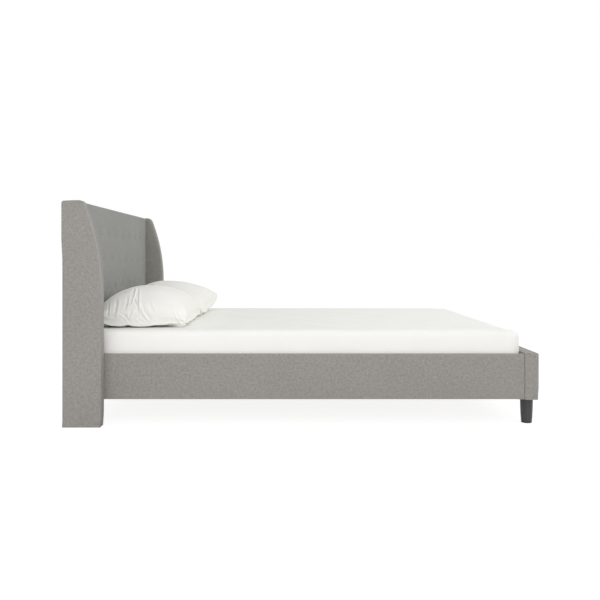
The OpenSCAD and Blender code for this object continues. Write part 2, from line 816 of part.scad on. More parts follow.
// A corner bracket for the left side: reach is +1 at the head and -1 at the foot
module corner_bracket(x_face, reach) {
    x_plate = x_face + reach * steel_thickness;
    x_end = x_face + reach * bracket_length;
    difference() {
        union() {
            block(
                [min(x_face, x_plate), -y_rail_inner, z_bracket_bottom],
                [max(x_face, x_plate), -y_rail_inner + bracket_width, z_bracket_top]);
            block(
                [min(x_face, x_end), -y_rail_inner, z_bracket_bottom],
                [max(x_face, x_end), -y_rail_inner + steel_thickness, z_bracket_top]);
        }
        for (z = bracket_bolt_heights) {
            rod_x([x_face - 10, -y_bracket_bolt, z], 20, bolt_hole);
            rod_y([x_face + reach * (steel_thickness + bracket_bolt_reach), -y_rail_inner - 10, z], 20, bolt_hole);
        }
    }
}

module head_brackets() {
    color(steel) for (side = sides) on_side(side) corner_bracket(x_apron_front, 1);
}

module foot_brackets() {
    color(steel) for (side = sides) on_side(side) corner_bracket(x_foot_back, -1);
}

// The bolts of the four brackets and the two hangers
module bracket_bolts() {
    head_length = steel_thickness + apron_thickness + face_board_thickness + head_frame_thickness - 4;
    color(zinc) {
        for (side = sides) on_side(side) for (z = bracket_bolt_heights) {
            translate([x_apron_front + steel_thickness, -y_bracket_bolt, z])
                rotate([0, -90, 0]) bolt(head_length);
            translate([x_foot_back - steel_thickness, -y_bracket_bolt, z])
                rotate([0, 90, 0]) bolt(bolt_grip);
            for (x = [x_apron_front + steel_thickness + bracket_bolt_reach,
                    x_foot_back - steel_thickness - bracket_bolt_reach])
                translate([x, -y_rail_inner + steel_thickness, z]) rotate([90, 0, 0]) bolt(bolt_grip - 1);
        }
        for (y = hanger_bolt_places) {
            translate([x_apron_front + steel_thickness, y, z_hanger_bolt])
                rotate([0, -90, 0]) bolt(head_length);
            translate([x_foot_back - steel_thickness, y, z_hanger_bolt])
                rotate([0, 90, 0]) bolt(bolt_grip);
        }
    }
}

// The foot rail: two boards with blocks between them, inside a padded cover
x_foot_inner_board = x_foot_back + foot_padding + fit;
x_foot_outer_board = x_foot_front - foot_padding - fit - foot_board_thickness;
y_foot_board_end = y_foot_end - foot_padding - fit;
z_foot_board_bottom = z_rail_bottom + foot_lip_thickness + fit / 2;
z_foot_board_top = z_rail_top - foot_padding - fit;

module foot_bolt_holes(x_to) {
    for (side = sides, z = bracket_bolt_heights)
        rod_x([x_foot_back - 1, side * y_bracket_bolt, z], x_to - x_foot_back + 1, bolt_hole);
    for (y = hanger_bolt_places)
        rod_x([x_foot_back - 1, y, z_hanger_bolt], x_to - x_foot_back + 1, bolt_hole);
}

module foot_board(x_from) {
    block(
        [x_from, -y_foot_board_end, z_foot_board_bottom],
        [x_from + foot_board_thickness, y_foot_board_end, z_foot_board_top]);
}

module foot_front_board() {
    color(pine) foot_board(x_foot_outer_board);
}

module foot_back_board() {
    color(pine) difference() {
        foot_board(x_foot_inner_board);
        foot_bolt_holes(x_foot_inner_board + foot_board_thickness + 1);
    }
}

// Blocks that keep the boards apart: two over the legs, two beside the beam's bolts
x_leg = x_foot_front - leg_inset;
y_leg = y_foot_end - leg_side_inset;
stud_bite = 34;

module foot_blocks() {
    x_from = x_foot_inner_board + foot_board_thickness;
    color(pine) difference() {
        for (y = [-y_leg, -y_leg / 3, y_leg / 3, y_leg])
            block(
                [x_from, y - foot_block_width / 2, z_foot_board_bottom],
                [x_foot_outer_board, y + foot_block_width / 2, z_foot_board_top]);
        for (side = sides)
            translate([x_leg, side * y_leg, z_foot_board_bottom - 1])
                cylinder(h = stud_bite + 2, d = bolt_hole);
        foot_bolt_holes(x_foot_back + bolt_grip);
    }
}

// The padded cover: its fabric turns in under the boards and leaves their middle open
module foot_cover() {
    top_radius = min(foot_edge_radius, 2.2 * foot_padding);
    low_radius = 2 * foot_lip_thickness;
    steps = 24;
    color(linen) difference() {
        hull() for (x = [-1, 1], y = sides, z = [-1, 1]) {
            radius = z > 0 ? top_radius : low_radius;
            translate([
                (x_foot_back + x_foot_front) / 2 + x * (foot_thickness / 2 - radius),
                y * (y_foot_end - radius),
                (z_rail_bottom + z_rail_top) / 2 + z * (rail_height / 2 - radius)])
                sphere(radius / cos(180 / steps), $fn = steps);
        }
        block(
            [x_foot_inner_board - fit, -y_foot_board_end - fit, z_foot_board_bottom - fit / 2],
            [x_foot_front - foot_padding, y_foot_board_end + fit, z_foot_board_top + fit]);
        block(
            [x_foot_inner_board + foot_lip_width, -y_foot_board_end + foot_lip_width, z_rail_bottom - 1],
            [x_foot_outer_board + foot_board_thickness - foot_lip_width, y_foot_board_end - foot_lip_width,
                z_foot_board_bottom]);
        foot_bolt_holes(x_foot_inner_board + 1);
    }
}

// Round tapered legs with a stud at the top and a glide below
module leg(side) {
    foot_round = 3;
    top_radius = leg_top_diameter / 2;
    bottom_radius = leg_bottom_diameter / 2;
    belly = 0.8;
    height = z_rail_bottom - leg_glide_thickness;
    color(charcoal_stain) translate([x_leg, side * y_leg, leg_glide_thickness]) difference() {
        rotate_extrude() polygon(concat(
            [[0, 0], [bottom_radius - foot_round, 0]],
            arc_points([bottom_radius - foot_round, foot_round], foot_round, -60, 0, 3),
            [for (t = [0.2:0.2:0.8])
                [bottom_radius + (top_radius - bottom_radius) * t + belly * sin(180 * t), height * t]],
            [[top_radius, height], [0, height]]));
        translate([0, 0, height - stud_bite]) cylinder(h = stud_bite + 1, d = bolt_hole);
    }
}

module leg_left() {
    leg(left);
}

module leg_right() {
    leg(right);
}

module leg_studs() {
    length = 2 * stud_bite - 4;
    color(zinc) for (side = sides)
        translate([x_leg, side * y_leg, z_rail_bottom - length / 2]) cylinder(h = length, d = bolt_diameter);
}

module leg_glides() {
    color(nylon) for (side = sides) translate([x_leg, side * y_leg, 0])
        cylinder(h = leg_glide_thickness, d = leg_bottom_diameter - 10);
}

// The centre beam in its hangers
module centre_beam() {
    color(pine) block(
        [x_apron_front + steel_thickness, -beam_width / 2, z_beam_bottom],
        [x_foot_back - steel_thickness, beam_width / 2, z_slat_bottom]);
}

// A steel hanger at one end of the beam: reach is +1 at the head and -1 at the foot
module beam_hanger(x_face, reach) {
    x_plate = x_face + reach * steel_thickness;
    x_end = x_face + reach * hanger_reach;
    half = beam_width / 2 + fit;
    plate_half = half + steel_thickness + hanger_lug;
    difference() {
        union() {
            block(
                [min(x_face, x_plate), -plate_half, z_beam_bottom - fit - steel_thickness],
                [max(x_face, x_plate), plate_half, z_slat_bottom - 8]);
            difference() {
                block(
                    [min(x_face, x_end), -half - steel_thickness, z_beam_bottom - fit - steel_thickness],
                    [max(x_face, x_end), half + steel_thickness, z_slat_bottom - 8]);
                block(
                    [min(x_plate, x_end + reach), -half, z_beam_bottom - fit],
                    [max(x_plate, x_end + reach), half, z_slat_bottom]);
            }
        }
        for (y = hanger_bolt_places)
            rod_x([x_face - 10, y, z_hanger_bolt], 20, bolt_hole);
    }
}

module beam_hangers() {
    color(steel) {
        beam_hanger(x_apron_front, 1);
        beam_hanger(x_foot_back, -1);
    }
}

// A centre leg: a round steel leg with a plate under the beam and a threaded bore for its foot
stem_diameter = 10;
stem_bite = 25;

function centre_leg_place(number) = (number - 2) * centre_leg_spacing;

module centre_leg(number) {
    plate_bottom = z_beam_bottom - steel_thickness;
    bore_depth = stem_bite + leveller_travel + 5;
    color(steel) translate([centre_leg_place(number), 0, 0]) difference() {
        union() {
            block(
                [-centre_leg_plate / 2, -centre_leg_plate / 2, plate_bottom],
                [centre_leg_plate / 2, centre_leg_plate / 2, z_beam_bottom]);
            translate([0, 0, leveller_length])
                cylinder(h = plate_bottom - leveller_length, d = centre_leg_diameter);
        }
        translate([0, 0, leveller_length - 1]) cylinder(h = bore_depth + 1, d = stem_diameter + 2 * fit);
    }
}

module centre_leg_1() {
    centre_leg(1);
}

module centre_leg_2() {
    centre_leg(2);
}

module centre_leg_3() {
    centre_leg(3);
}

// The screw foot of a centre leg
module leveller(number) {
    radius = leveller_diameter / 2;
    rim = 4;
    hub = 8;
    stem = stem_diameter / 2;
    color(nylon) translate([centre_leg_place(number), 0, 0]) rotate_extrude() polygon([
        [0, 0], [radius, 0], [radius, rim], [hub, hub + 2], [stem, hub + 2],
        [stem, leveller_length + stem_bite], [0, leveller_length + stem_bite]]);
}

module leveller_1() {
    leveller(1);
}

module leveller_2() {
    leveller(2);
}

module leveller_3() {
    leveller(3);
}

// Slats across the ledges and the beam, numbered from the head, each a sub-part of its own
slat_count = 12;
slat_pitch = (mattress_length - 2 * slat_end_inset) / (slat_count - 1);

function slat_place(number) = x_mattress_head + slat_end_inset + (number - 1) * slat_pitch;

module slat(number) {
    x = slat_place(number);
    color(pine) along_y(-y_rail_inner + 2, y_rail_inner - 2)
        round_rectangle(
            [x - slat_width / 2, z_slat_bottom], [x + slat_width / 2, z_slat_top], slat_edge_radius);
}

module slat_01() {
    slat(1);
}

module slat_02() {
    slat(2);
}

module slat_03() {
    slat(3);
}

module slat_04() {
    slat(4);
}

module slat_05() {
    slat(5);
}

module slat_06() {
    slat(6);
}

module slat_07() {
    slat(7);
}

module slat_08() {
    slat(8);
}

module slat_09() {
    slat(9);
}

module slat_10() {
    slat(10);
}

module slat_11() {
    slat(11);
}

module slat_12() {
    slat(12);
}

// Two webbing straps that keep the slats apart
module slat_straps() {
    color(webbing) for (side = sides)
        block(
            [slat_place(1) - slat_width / 2 + 5, side * strap_offset - strap_width / 2,
                z_slat_bottom - strap_thickness],
            [slat_place(slat_count) + slat_width / 2 - 5, side * strap_offset + strap_width / 2,
                z_slat_bottom]);
}

head_post_left();
head_post_right();
head_top_rail();
head_mid_rail();
head_bottom_rail();
head_face_board();
head_back_cover();
head_top_roll();
head_cushion();
head_apron();
tuft_buttons();
wing_core_left();
wing_core_right();
wing_cover_left();
wing_cover_right();
wing_bolts();
wing_glides();
rail_board_left();
rail_board_right();
rail_cover_left();
rail_cover_right();
slat_ledge_left();
slat_ledge_right();
head_brackets();
foot_brackets();
bracket_bolts();
foot_front_board();
foot_back_board();
foot_blocks();
foot_cover();
leg_left();
leg_right();
leg_studs();
leg_glides();
centre_beam();
beam_hangers();
centre_leg_1();
centre_leg_2();
centre_leg_3();
leveller_1();
leveller_2();
leveller_3();
slat_01();
slat_02();
slat_03();
slat_04();
slat_05();
slat_06();
slat_07();
slat_08();
slat_09();
slat_10();
slat_11();
slat_12();
slat_straps();
mattress();
fitted_sheet();
pillow_left();
pillow_right();
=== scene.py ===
"""The upholstered wingback bed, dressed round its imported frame.

Each sub-assembly of the bed is a class that holds its sizes in metres, builds its meshes and
dresses them. Each finish is a frozen dataclass that makes its own material. The frame's rigid
parts stay where they are and only take a finish; its soft solids and leg glides are replaced.
"""
import logging
import math
from dataclasses import dataclass, field
from enum import Enum
from typing import Callable, Iterable, Sequence

import bmesh
import bpy
import numpy as np
from mathutils import Matrix, Vector


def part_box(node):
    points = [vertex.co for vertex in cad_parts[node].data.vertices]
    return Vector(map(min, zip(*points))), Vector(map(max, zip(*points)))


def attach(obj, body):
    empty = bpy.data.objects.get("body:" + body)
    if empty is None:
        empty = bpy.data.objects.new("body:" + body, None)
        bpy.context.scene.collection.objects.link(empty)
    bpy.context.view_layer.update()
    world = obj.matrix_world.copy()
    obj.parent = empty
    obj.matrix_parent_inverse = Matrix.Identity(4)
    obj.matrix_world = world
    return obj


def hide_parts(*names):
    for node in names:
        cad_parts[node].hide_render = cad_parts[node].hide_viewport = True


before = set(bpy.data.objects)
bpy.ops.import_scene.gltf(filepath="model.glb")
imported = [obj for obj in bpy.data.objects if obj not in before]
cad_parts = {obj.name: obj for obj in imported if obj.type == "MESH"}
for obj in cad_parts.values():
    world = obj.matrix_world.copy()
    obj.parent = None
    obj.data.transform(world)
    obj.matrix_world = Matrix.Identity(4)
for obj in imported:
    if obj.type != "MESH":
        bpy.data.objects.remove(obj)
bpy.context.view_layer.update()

log = logging.getLogger("bed")

WEAVE_MAP = "weave"
# The map that carries the painted highlight along the wings' front seams.
WELT_HIGHLIGHT_MAP = "welt"
ON_RIM = 1e-6


class Side(Enum):
    """The two sides of the bed, as seen from its foot."""

    LEFT = -1
    RIGHT = 1

    @property
    def word(self) -> str:
        """The side's name as the frame's nodes spell it."""
        return self.name.lower()


class Axis(Enum):
    """The axes that a board's grain can run along."""

    X = 0
    Y = 1
    Z = 2


# Finishes


class Shading:
    """A node tree, with short calls that add nodes and link them."""

    def __init__(self, tree: bpy.types.NodeTree) -> None:
        """Takes the tree.

        Args:
            tree: The node tree that the nodes go into.
        """
        self.tree = tree

    def node(self, kind: str, **settings: object) -> bpy.types.Node:
        """Adds a shader node.

        Args:
            kind: The node's type without its ShaderNode prefix.
            **settings: Properties to set on the node.

        Returns:
            The new node.
        """
        made = self.tree.nodes.new("ShaderNode" + kind)
        for name, value in settings.items():
            setattr(made, name, value)
        return made

    def feed(self, target: bpy.types.NodeSocket, value: object) -> None:
        """Links a socket into another, or sets a plain value on it.

        Args:
            target: The input socket.
            value: An output socket, a number or a tuple.
        """
        if isinstance(value, bpy.types.NodeSocket):
            self.tree.links.new(value, target)
        else:
            target.default_value = value

    def fed(self, kind: str, **inputs: object) -> bpy.types.NodeSocket:
        """Adds a shader node and feeds its inputs.

        Args:
            kind: The node's type without its ShaderNode prefix.
            **inputs: Sockets or plain values, by the inputs' names with underscores for spaces.

        Returns:
            The node's first output.
        """
        made = self.node(kind)
        for name, value in inputs.items():
            self.feed(made.inputs[name.replace("_", " ")], value)
        return made.outputs[0]

    def sum(self, operation: str, first: object, second: object = 0.0) -> bpy.types.NodeSocket:
        """One step of arithmetic.

        Args:
            operation: The Math node's operation.
            first: The first socket or number.
            second: The second socket or number.

        Returns:
            The value socket.
        """
        made = self.node("Math", operation=operation)
        self.feed(made.inputs[0], first)
        self.feed(made.inputs[1], second)
        return made.outputs[0]


class Surface(Shading):
    """The node tree of one material, with short calls for the patterns that the finishes use."""

    def __init__(self, name: str) -> None:
        """Starts a material with a plain Principled shader.

        Args:
            name: The material's name.
        """
        self.material = bpy.data.materials.new(name)
        self.material.use_nodes = True
        super().__init__(self.material.node_tree)
        self.shader = self.tree.nodes["Principled BSDF"]

    def cloth_place(self) -> bpy.types.NodeSocket:
        """The place on the cloth, in metres along its threads."""
        return self.node("UVMap", uv_map=WEAVE_MAP).outputs["UV"]

    def object_place(self) -> bpy.types.NodeSocket:
        """The place on the bed, in metres."""
        return self.node("TexCoord").outputs["Object"]

    def parts(self, place: bpy.types.NodeSocket) -> bpy.types.bpy_prop_collection:
        """Splits a place.

        Args:
            place: The place to split.

        Returns:
            The sockets of its three axes.
        """
        made = self.node("SeparateXYZ")
        self.feed(made.inputs[0], place)
        return made.outputs

    def waves(self, value: object, spacing: float) -> bpy.types.NodeSocket:
        """Waves along a value, from -1 to 1.

        Args:
            value: The value that they run along.
            spacing: The distance from one crossing of zero to the next.

        Returns:
            The value socket.
        """
        return self.sum("SINE", self.sum("MULTIPLY", value, math.pi / spacing))

    def stretched(
        self, place: bpy.types.NodeSocket, scales: Sequence[float], start: Sequence[float] = (0, 0, 0)
    ) -> bpy.types.NodeSocket:
        """Scales a place by its own amount on each axis.

        Args:
            place: The place to scale.
            scales: The three factors.
            start: An offset added after scaling.

        Returns:
            The scaled place.
        """
        return self.fed("Mapping", Vector=place, Scale=tuple(scales), Location=tuple(start))

    def noise(
        self, place: bpy.types.NodeSocket, scale: float, detail: float = 2.0, roughness: float = 0.5,
        distortion: float = 0.0,
    ) -> bpy.types.NodeSocket:
        """A noise value between 0 and 1.

        Args:
            place: The place that it is read at.
            scale: How many features lie in a unit of the place.
            detail: The number of finer octaves.
            roughness: How strong the finer octaves are.
            distortion: How far the pattern is warped.

        Returns:
            The value socket.
        """
        return self.fed(
            "TexNoise", Vector=place, Scale=scale, Detail=detail, Roughness=roughness, Distortion=distortion)

    def blend(self, shares: Sequence[float], values: Sequence[object]) -> bpy.types.NodeSocket:
        """Adds up values, each by its share.

        Args:
            shares: The shares.
            values: The values.

        Returns:
            The value socket.
        """
        total = None
        for share, value in zip(shares, values):
            part = self.sum("MULTIPLY", value, share)
            total = part if total is None else self.sum("ADD", total, part)
        return total

    def spread(
        self, value: object, low: float, high: float, to_low: float = 0.0, to_high: float = 1.0
    ) -> bpy.types.NodeSocket:
        """Maps a value from one range to another, clamped.

        Args:
            value: The value socket.
            low: The value that becomes to_low.
            high: The value that becomes to_high.
            to_low: The lower result.
            to_high: The upper result.

        Returns:
            The value socket.
        """
        return self.fed(
            "MapRange", Value=value, From_Min=low, From_Max=high, To_Min=to_low, To_Max=to_high)

    def tint(self, share: object, first: object, second: object, mode: str = "MIX") -> bpy.types.NodeSocket:
        """Mixes two colours.

        Args:
            share: How much of the second colour shows.
            first: The first colour.
            second: The second colour.
            mode: The blend type.

        Returns:
            The colour socket.
        """
        made = self.node("Mix", data_type="RGBA", blend_type=mode)
        self.feed(made.inputs[0], share)
        self.feed(made.inputs[6], first)
        self.feed(made.inputs[7], second)
        return made.outputs[2]

    def darkened(
        self, colour: object, value: object, low: float, high: float, darkest: float
    ) -> bpy.types.NodeSocket:
        """Darkens a colour where a value is low.

        Args:
            colour: The colour.
            value: The value.
            low: The value at which the colour is darkest.
            high: The value from which it is as it was.
            darkest: What is left of the colour where it is darkest.

        Returns:
            The colour socket.
        """
        return self.tint(1.0, colour, self.spread(value, low, high, darkest, 1.0), "MULTIPLY")

    def relief(
        self, height: object, distance: float, strength: float = 1.0, under: object = None
    ) -> bpy.types.NodeSocket:
        """A bumped normal.

        Args:
            height: The height socket.
            distance: The height of a full step, in metres.
            strength: How strongly it shows.
            under: A normal socket that it is laid over.

        Returns:
            The normal socket.
        """
        below = {} if under is None else {"Normal": under}
        return self.fed("Bump", Distance=distance, Strength=strength, Height=height, **below)

    def finish(
        self, colour: object, roughness: object, normal: object = None, **fixed: float
    ) -> bpy.types.Material:
        """Connects the shader.

        Args:
            colour: The base colour.
            roughness: The roughness.
            normal: The normal, if it is bumped.
            **fixed: Other inputs as plain numbers, by their names with underscores for spaces.

        Returns:
            The finished material.
        """
        self.feed(self.shader.inputs["Base Color"], colour)
        self.feed(self.shader.inputs["Roughness"], roughness)
        if normal is not None:
            self.feed(self.shader.inputs["Normal"], normal)
        for name, value in fixed.items():
            self.feed(self.shader.inputs[name.replace("_", " ")], value)
        return self.material


def written(red: int, green: int, blue: int) -> tuple[float, float, float, float]:
    """A colour as it is seen on screen, in the shader's linear values.

    Args:
        red: Red from 0 to 255.
        green: Green from 0 to 255.
        blue: Blue from 0 to 255.

    Returns:
        The linear colour with alpha.
    """
    shares = [channel / 255 for channel in (red, green, blue)]
    return (*[s / 12.92 if s <= 0.04045 else ((s + 0.055) / 1.055) ** 2.4 for s in shares], 1.0)


def shifted(colour: tuple[int, int, int], *steps: int) -> tuple[float, float, float, float]:
    """A colour made lighter or darker.

    Args:
        colour: Its red, green and blue from 0 to 255.
        *steps: What is added, either once for all three or for each.

    Returns:
        The linear colour with alpha.
    """
    by = steps * 3 if len(steps) == 1 else steps
    return written(*(min(255, part + step) for part, step in zip(colour, by)))


@dataclass(frozen=True)
class Linen:
    """Heathered upholstery linen in plain weave, with slubs and mottled yarn."""

    name: str
    dark: tuple[int, int, int]
    light: tuple[int, int, int]
    thread: float = 0.0011
    slub: float = 0.030
    mottle: float = 0.011
    shares: tuple[float, float, float, float] = (0.36, 0.34, 0.22, 0.08)
    # How much paler the painted highlight along the wings' front seams makes the linen, and how strongly it
    # shows.
    welt_paler: int = 34
    welt_share: float = 0.28

    def material(self) -> bpy.types.Material:
        """Makes the linen's material.

        Returns:
            The material.
        """
        s = Surface(self.name)
        place = s.cloth_place()
        across, up, _ = s.parts(place)
        crossing = s.sum("MULTIPLY", s.waves(across, self.thread), s.waves(up, self.thread))
        over = s.spread(crossing, -0.25, 0.25)
        thin, long = 0.45 / self.thread, 1 / self.slub
        warp_yarn = s.noise(s.stretched(place, (thin, long, 1)), 1.0, 2.0, 0.6)
        weft_yarn = s.noise(s.stretched(place, (long, thin, 1), (7.3, 2.1, 0)), 1.0, 2.0, 0.6)
        yarn = s.sum("ADD", s.sum("MULTIPLY", warp_yarn, over), s.sum(
            "MULTIPLY", weft_yarn, s.sum("SUBTRACT", 1.0, over)))
        mottled = s.noise(place, 1 / self.mottle, 3.0, 0.62, 0.4)
        speckled = s.noise(s.stretched(place, (1, 1, 1), (3.7, 9.2, 0)), 3.2 / self.mottle, 2.0, 0.6)
        broad = s.noise(place, 3.5, 2.0)
        tone = s.blend(self.shares, (yarn, mottled, speckled, broad))
        colour = s.tint(s.spread(tone, 0.36, 0.64), written(*self.dark), written(*self.light))
        # Painted shade in the gaps between the threads.
        colour = s.darkened(colour, s.sum("ABSOLUTE", crossing), 0.0, 0.35, 0.86)
        # Painted highlight: paler linen along the wings' front seams, where the rounded edge catches the
        # light.
        welt = s.node("Attribute", attribute_name=WELT_HIGHLIGHT_MAP).outputs["Fac"]
        share = s.sum("MULTIPLY", welt, self.welt_share)
        colour = s.tint(share, colour, shifted(self.light, self.welt_paler))
        weave = s.relief(s.sum("ADD", s.sum("MULTIPLY", crossing, 0.5), yarn), 0.00035, 0.55)
        return s.finish(
            colour, s.spread(mottled, 0.3, 0.7, 0.86, 0.97), weave,
            Sheen_Weight=0.12, Sheen_Roughness=0.6, Specular_IOR_Level=0.22)


@dataclass(frozen=True)
class Cotton:
    """White percale: a fine, close weave with faint creases from washing."""

    name: str
    colour: tuple[int, int, int]
    thread: float = 0.0006
    crease: float = 0.05

    def material(self) -> bpy.types.Material:
        """Makes the cotton's material.

        Returns:
            The material.
        """
        s = Surface(self.name)
        place = s.cloth_place()
        across, up, _ = s.parts(place)
        crossing = s.sum("MULTIPLY", s.waves(across, self.thread), s.waves(up, self.thread))
        creases = s.noise(place, 1 / self.crease, 4.0, 0.55, 0.8)
        broad = s.noise(place, 5.0, 2.0)
        shade = s.tint(s.spread(broad, 0.35, 0.65), shifted(self.colour, -2, -2, -3), written(*self.colour))
        # Painted shade, faint, in the hollows of the weave.
        shade = s.darkened(shade, crossing, -0.6, 0.6, 0.985)
        soft = s.relief(creases, 0.0016, 0.35)
        weave = s.relief(crossing, 0.0001, 0.25, soft)
        return s.finish(
            shade, s.spread(creases, 0.3, 0.7, 0.78, 0.9), weave,
            Sheen_Weight=0.1, Sheen_Roughness=0.5, Specular_IOR_Level=0.25)


@dataclass(frozen=True)
class Ticking:
    """The mattress's own cloth: an off-white knit with a quilted diamond."""

    name: str
    colour: tuple[int, int, int]
    quilt: float = 0.09

    def material(self) -> bpy.types.Material:
        """Makes the ticking's material.

        Returns:
            The material.
        """
        s = Surface(self.name)
        place = s.cloth_place()
        across, up, _ = s.parts(place)
        rising = s.waves(s.sum("ADD", across, up), self.quilt)
        falling = s.waves(s.sum("SUBTRACT", across, up), self.quilt)
        puff = s.sum("POWER", s.sum("ABSOLUTE", s.sum("MULTIPLY", rising, falling)), 0.35)
        knit = s.noise(s.stretched(place, (420, 900, 1)), 1.0, 2.0, 0.6)
        colour = s.tint(s.spread(knit, 0.3, 0.7), shifted(self.colour, -10, -10, -12), written(*self.colour))
        # Painted shade in the valleys of the quilting.
        colour = s.darkened(colour, puff, 0.0, 0.4, 0.86)
        normal = s.relief(knit, 0.0003, 0.5, s.relief(puff, 0.003, 0.8))
        return s.finish(colour, s.spread(knit, 0.3, 0.7, 0.8, 0.95), normal, Sheen_Weight=0.1)


@dataclass(frozen=True)
class BackCloth:
    """The thin dark non-woven cloth that closes the headboard's back."""

    name: str
    colour: tuple[int, int, int]

    def material(self) -> bpy.types.Material:
        """Makes the back cloth's material.

        Returns:
            The material.
        """
        s = Surface(self.name)
        place = s.cloth_place()
        fibres = s.noise(place, 900.0, 3.0, 0.7, 1.5)
        pressed = s.spread(s.fed("TexVoronoi", Vector=place, Scale=620.0), 0.1, 0.5)
        colour = s.tint(s.spread(fibres, 0.3, 0.7), shifted(self.colour, -8), shifted(self.colour, 8))
        # Painted shade in the pressed dimples.
        colour = s.darkened(colour, pressed, 0.0, 1.0, 0.8)
        return s.finish(colour, s.spread(fibres, 0.3, 0.7, 0.75, 0.9), s.relief(pressed, 0.0002, 0.6))


@dataclass(frozen=True)
class Wood:
    """Planed wood with growth rings drawn out along its length."""

    name: str
    dark: tuple[int, int, int]
    light: tuple[int, int, int]
    along: Axis
    ring: float = 0.009
    roughness: tuple[float, float] = (0.5, 0.68)
    coat: float = 0.0
    ring_band: float = 0.22
    drawn_out: float = 0.06
    shares: tuple[float, float, float] = (0.5, 0.25, 0.25)

    def material(self) -> bpy.types.Material:
        """Makes the wood's material.

        Returns:
            The material.
        """
        s = Surface(self.name)
        drawn_out = [self.drawn_out if axis is self.along else 1.0 for axis in Axis]
        place = s.stretched(s.object_place(), drawn_out, (0.31, 0.17, 0.23))
        wander = s.noise(place, 9.0, 3.0, 0.55, 0.6)
        rings = s.spread(s.waves(wander, self.ring / self.ring_band), -1.0, 1.0)
        pores = s.noise(s.stretched(place, (1, 1, 1), (1.1, 4.2, 2.7)), 950.0, 2.0, 0.7)
        patches = s.noise(place, 14.0, 2.0)
        tone = s.blend(self.shares, (rings, pores, patches))
        colour = s.tint(s.spread(tone, 0.15, 0.85), written(*self.light), written(*self.dark))
        normal = s.relief(s.sum("ADD", pores, s.sum("MULTIPLY", rings, 0.3)), 0.00025, 0.4)
        return s.finish(
            colour, s.spread(pores, 0.3, 0.7, *self.roughness), normal,
            Coat_Weight=self.coat, Coat_Roughness=0.3)


@dataclass(frozen=True)
class Plywood:
    """Birch plywood: faint cathedral grain on the faces and thin plies at the edges."""

    name: str
    dark: tuple[int, int, int]
    light: tuple[int, int, int]
    ply: float = 0.0014

    def material(self) -> bpy.types.Material:
        """Makes the plywood's material.

        Returns:
            The material.
        """
        s = Surface(self.name)
        place = s.object_place()
        grain = s.noise(s.stretched(place, (30, 30, 2.2)), 1.0, 4.0, 0.6, 1.2)
        _, across, _ = s.parts(place)
        tone = s.blend((0.85, 0.08), (grain, s.waves(across, self.ply)))
        colour = s.tint(s.spread(tone, 0.25, 0.7), written(*self.light), written(*self.dark))
        return s.finish(colour, s.spread(grain, 0.3, 0.7, 0.55, 0.72), s.relief(tone, 0.0003, 0.4))


@dataclass(frozen=True)
class Metal:
    """Steel, either bright with plating or under a powder coat."""

    name: str
    colour: tuple[int, int, int]
    metallic: float
    roughness: tuple[float, float]
    peel: float = 0.0001

    def material(self) -> bpy.types.Material:
        """Makes the metal's material.

        Returns:
            The material.
        """
        s = Surface(self.name)
        place = s.object_place()
        grain = s.noise(place, 1400.0, 3.0, 0.6)
        smudges = s.noise(place, 60.0, 3.0, 0.6)
        colour = s.tint(s.spread(smudges, 0.3, 0.7), written(*self.colour), shifted(self.colour, 14))
        return s.finish(
            colour, s.spread(smudges, 0.3, 0.7, *self.roughness), s.relief(grain, self.peel, 0.4),
            Metallic=self.metallic)


@dataclass(frozen=True)
class Nylon:
    """Moulded nylon with a fine eroded surface."""

    name: str
    colour: tuple[int, int, int]

    def material(self) -> bpy.types.Material:
        """Makes the nylon's material.

        Returns:
            The material.
        """
        s = Surface(self.name)
        place = s.object_place()
        grain = s.noise(place, 1800.0, 2.0, 0.6)
        scuffs = s.noise(place, 90.0, 3.0, 0.65, 0.6)
        colour = s.tint(s.spread(scuffs, 0.35, 0.7), written(*self.colour), shifted(self.colour, 16))
        return s.finish(colour, s.spread(scuffs, 0.3, 0.7, 0.42, 0.6), s.relief(grain, 0.00012, 0.5))


@dataclass(frozen=True)
class Webbing:
    """Woven strap with ribs across it."""

    name: str
    colour: tuple[int, int, int]
    rib: float = 0.0018
    thread: float = 0.0012

    def material(self) -> bpy.types.Material:
        """Makes the webbing's material.

        Returns:
            The material.
        """
        s = Surface(self.name)
        place = s.cloth_place()
        across, up, _ = s.parts(place)
        woven = s.sum("MULTIPLY", s.waves(across, self.rib), s.waves(up, self.thread))
        fuzz = s.noise(place, 500.0, 2.0, 0.6)
        colour = s.tint(s.spread(fuzz, 0.3, 0.7), shifted(self.colour, -12), written(*self.colour))
        # Painted shade in the valleys between the ribs.
        colour = s.darkened(colour, woven, -1.0, 1.0, 0.8)
        return s.finish(colour, s.spread(fuzz, 0.3, 0.7, 0.8, 0.95), s.relief(woven, 0.0004, 0.7))


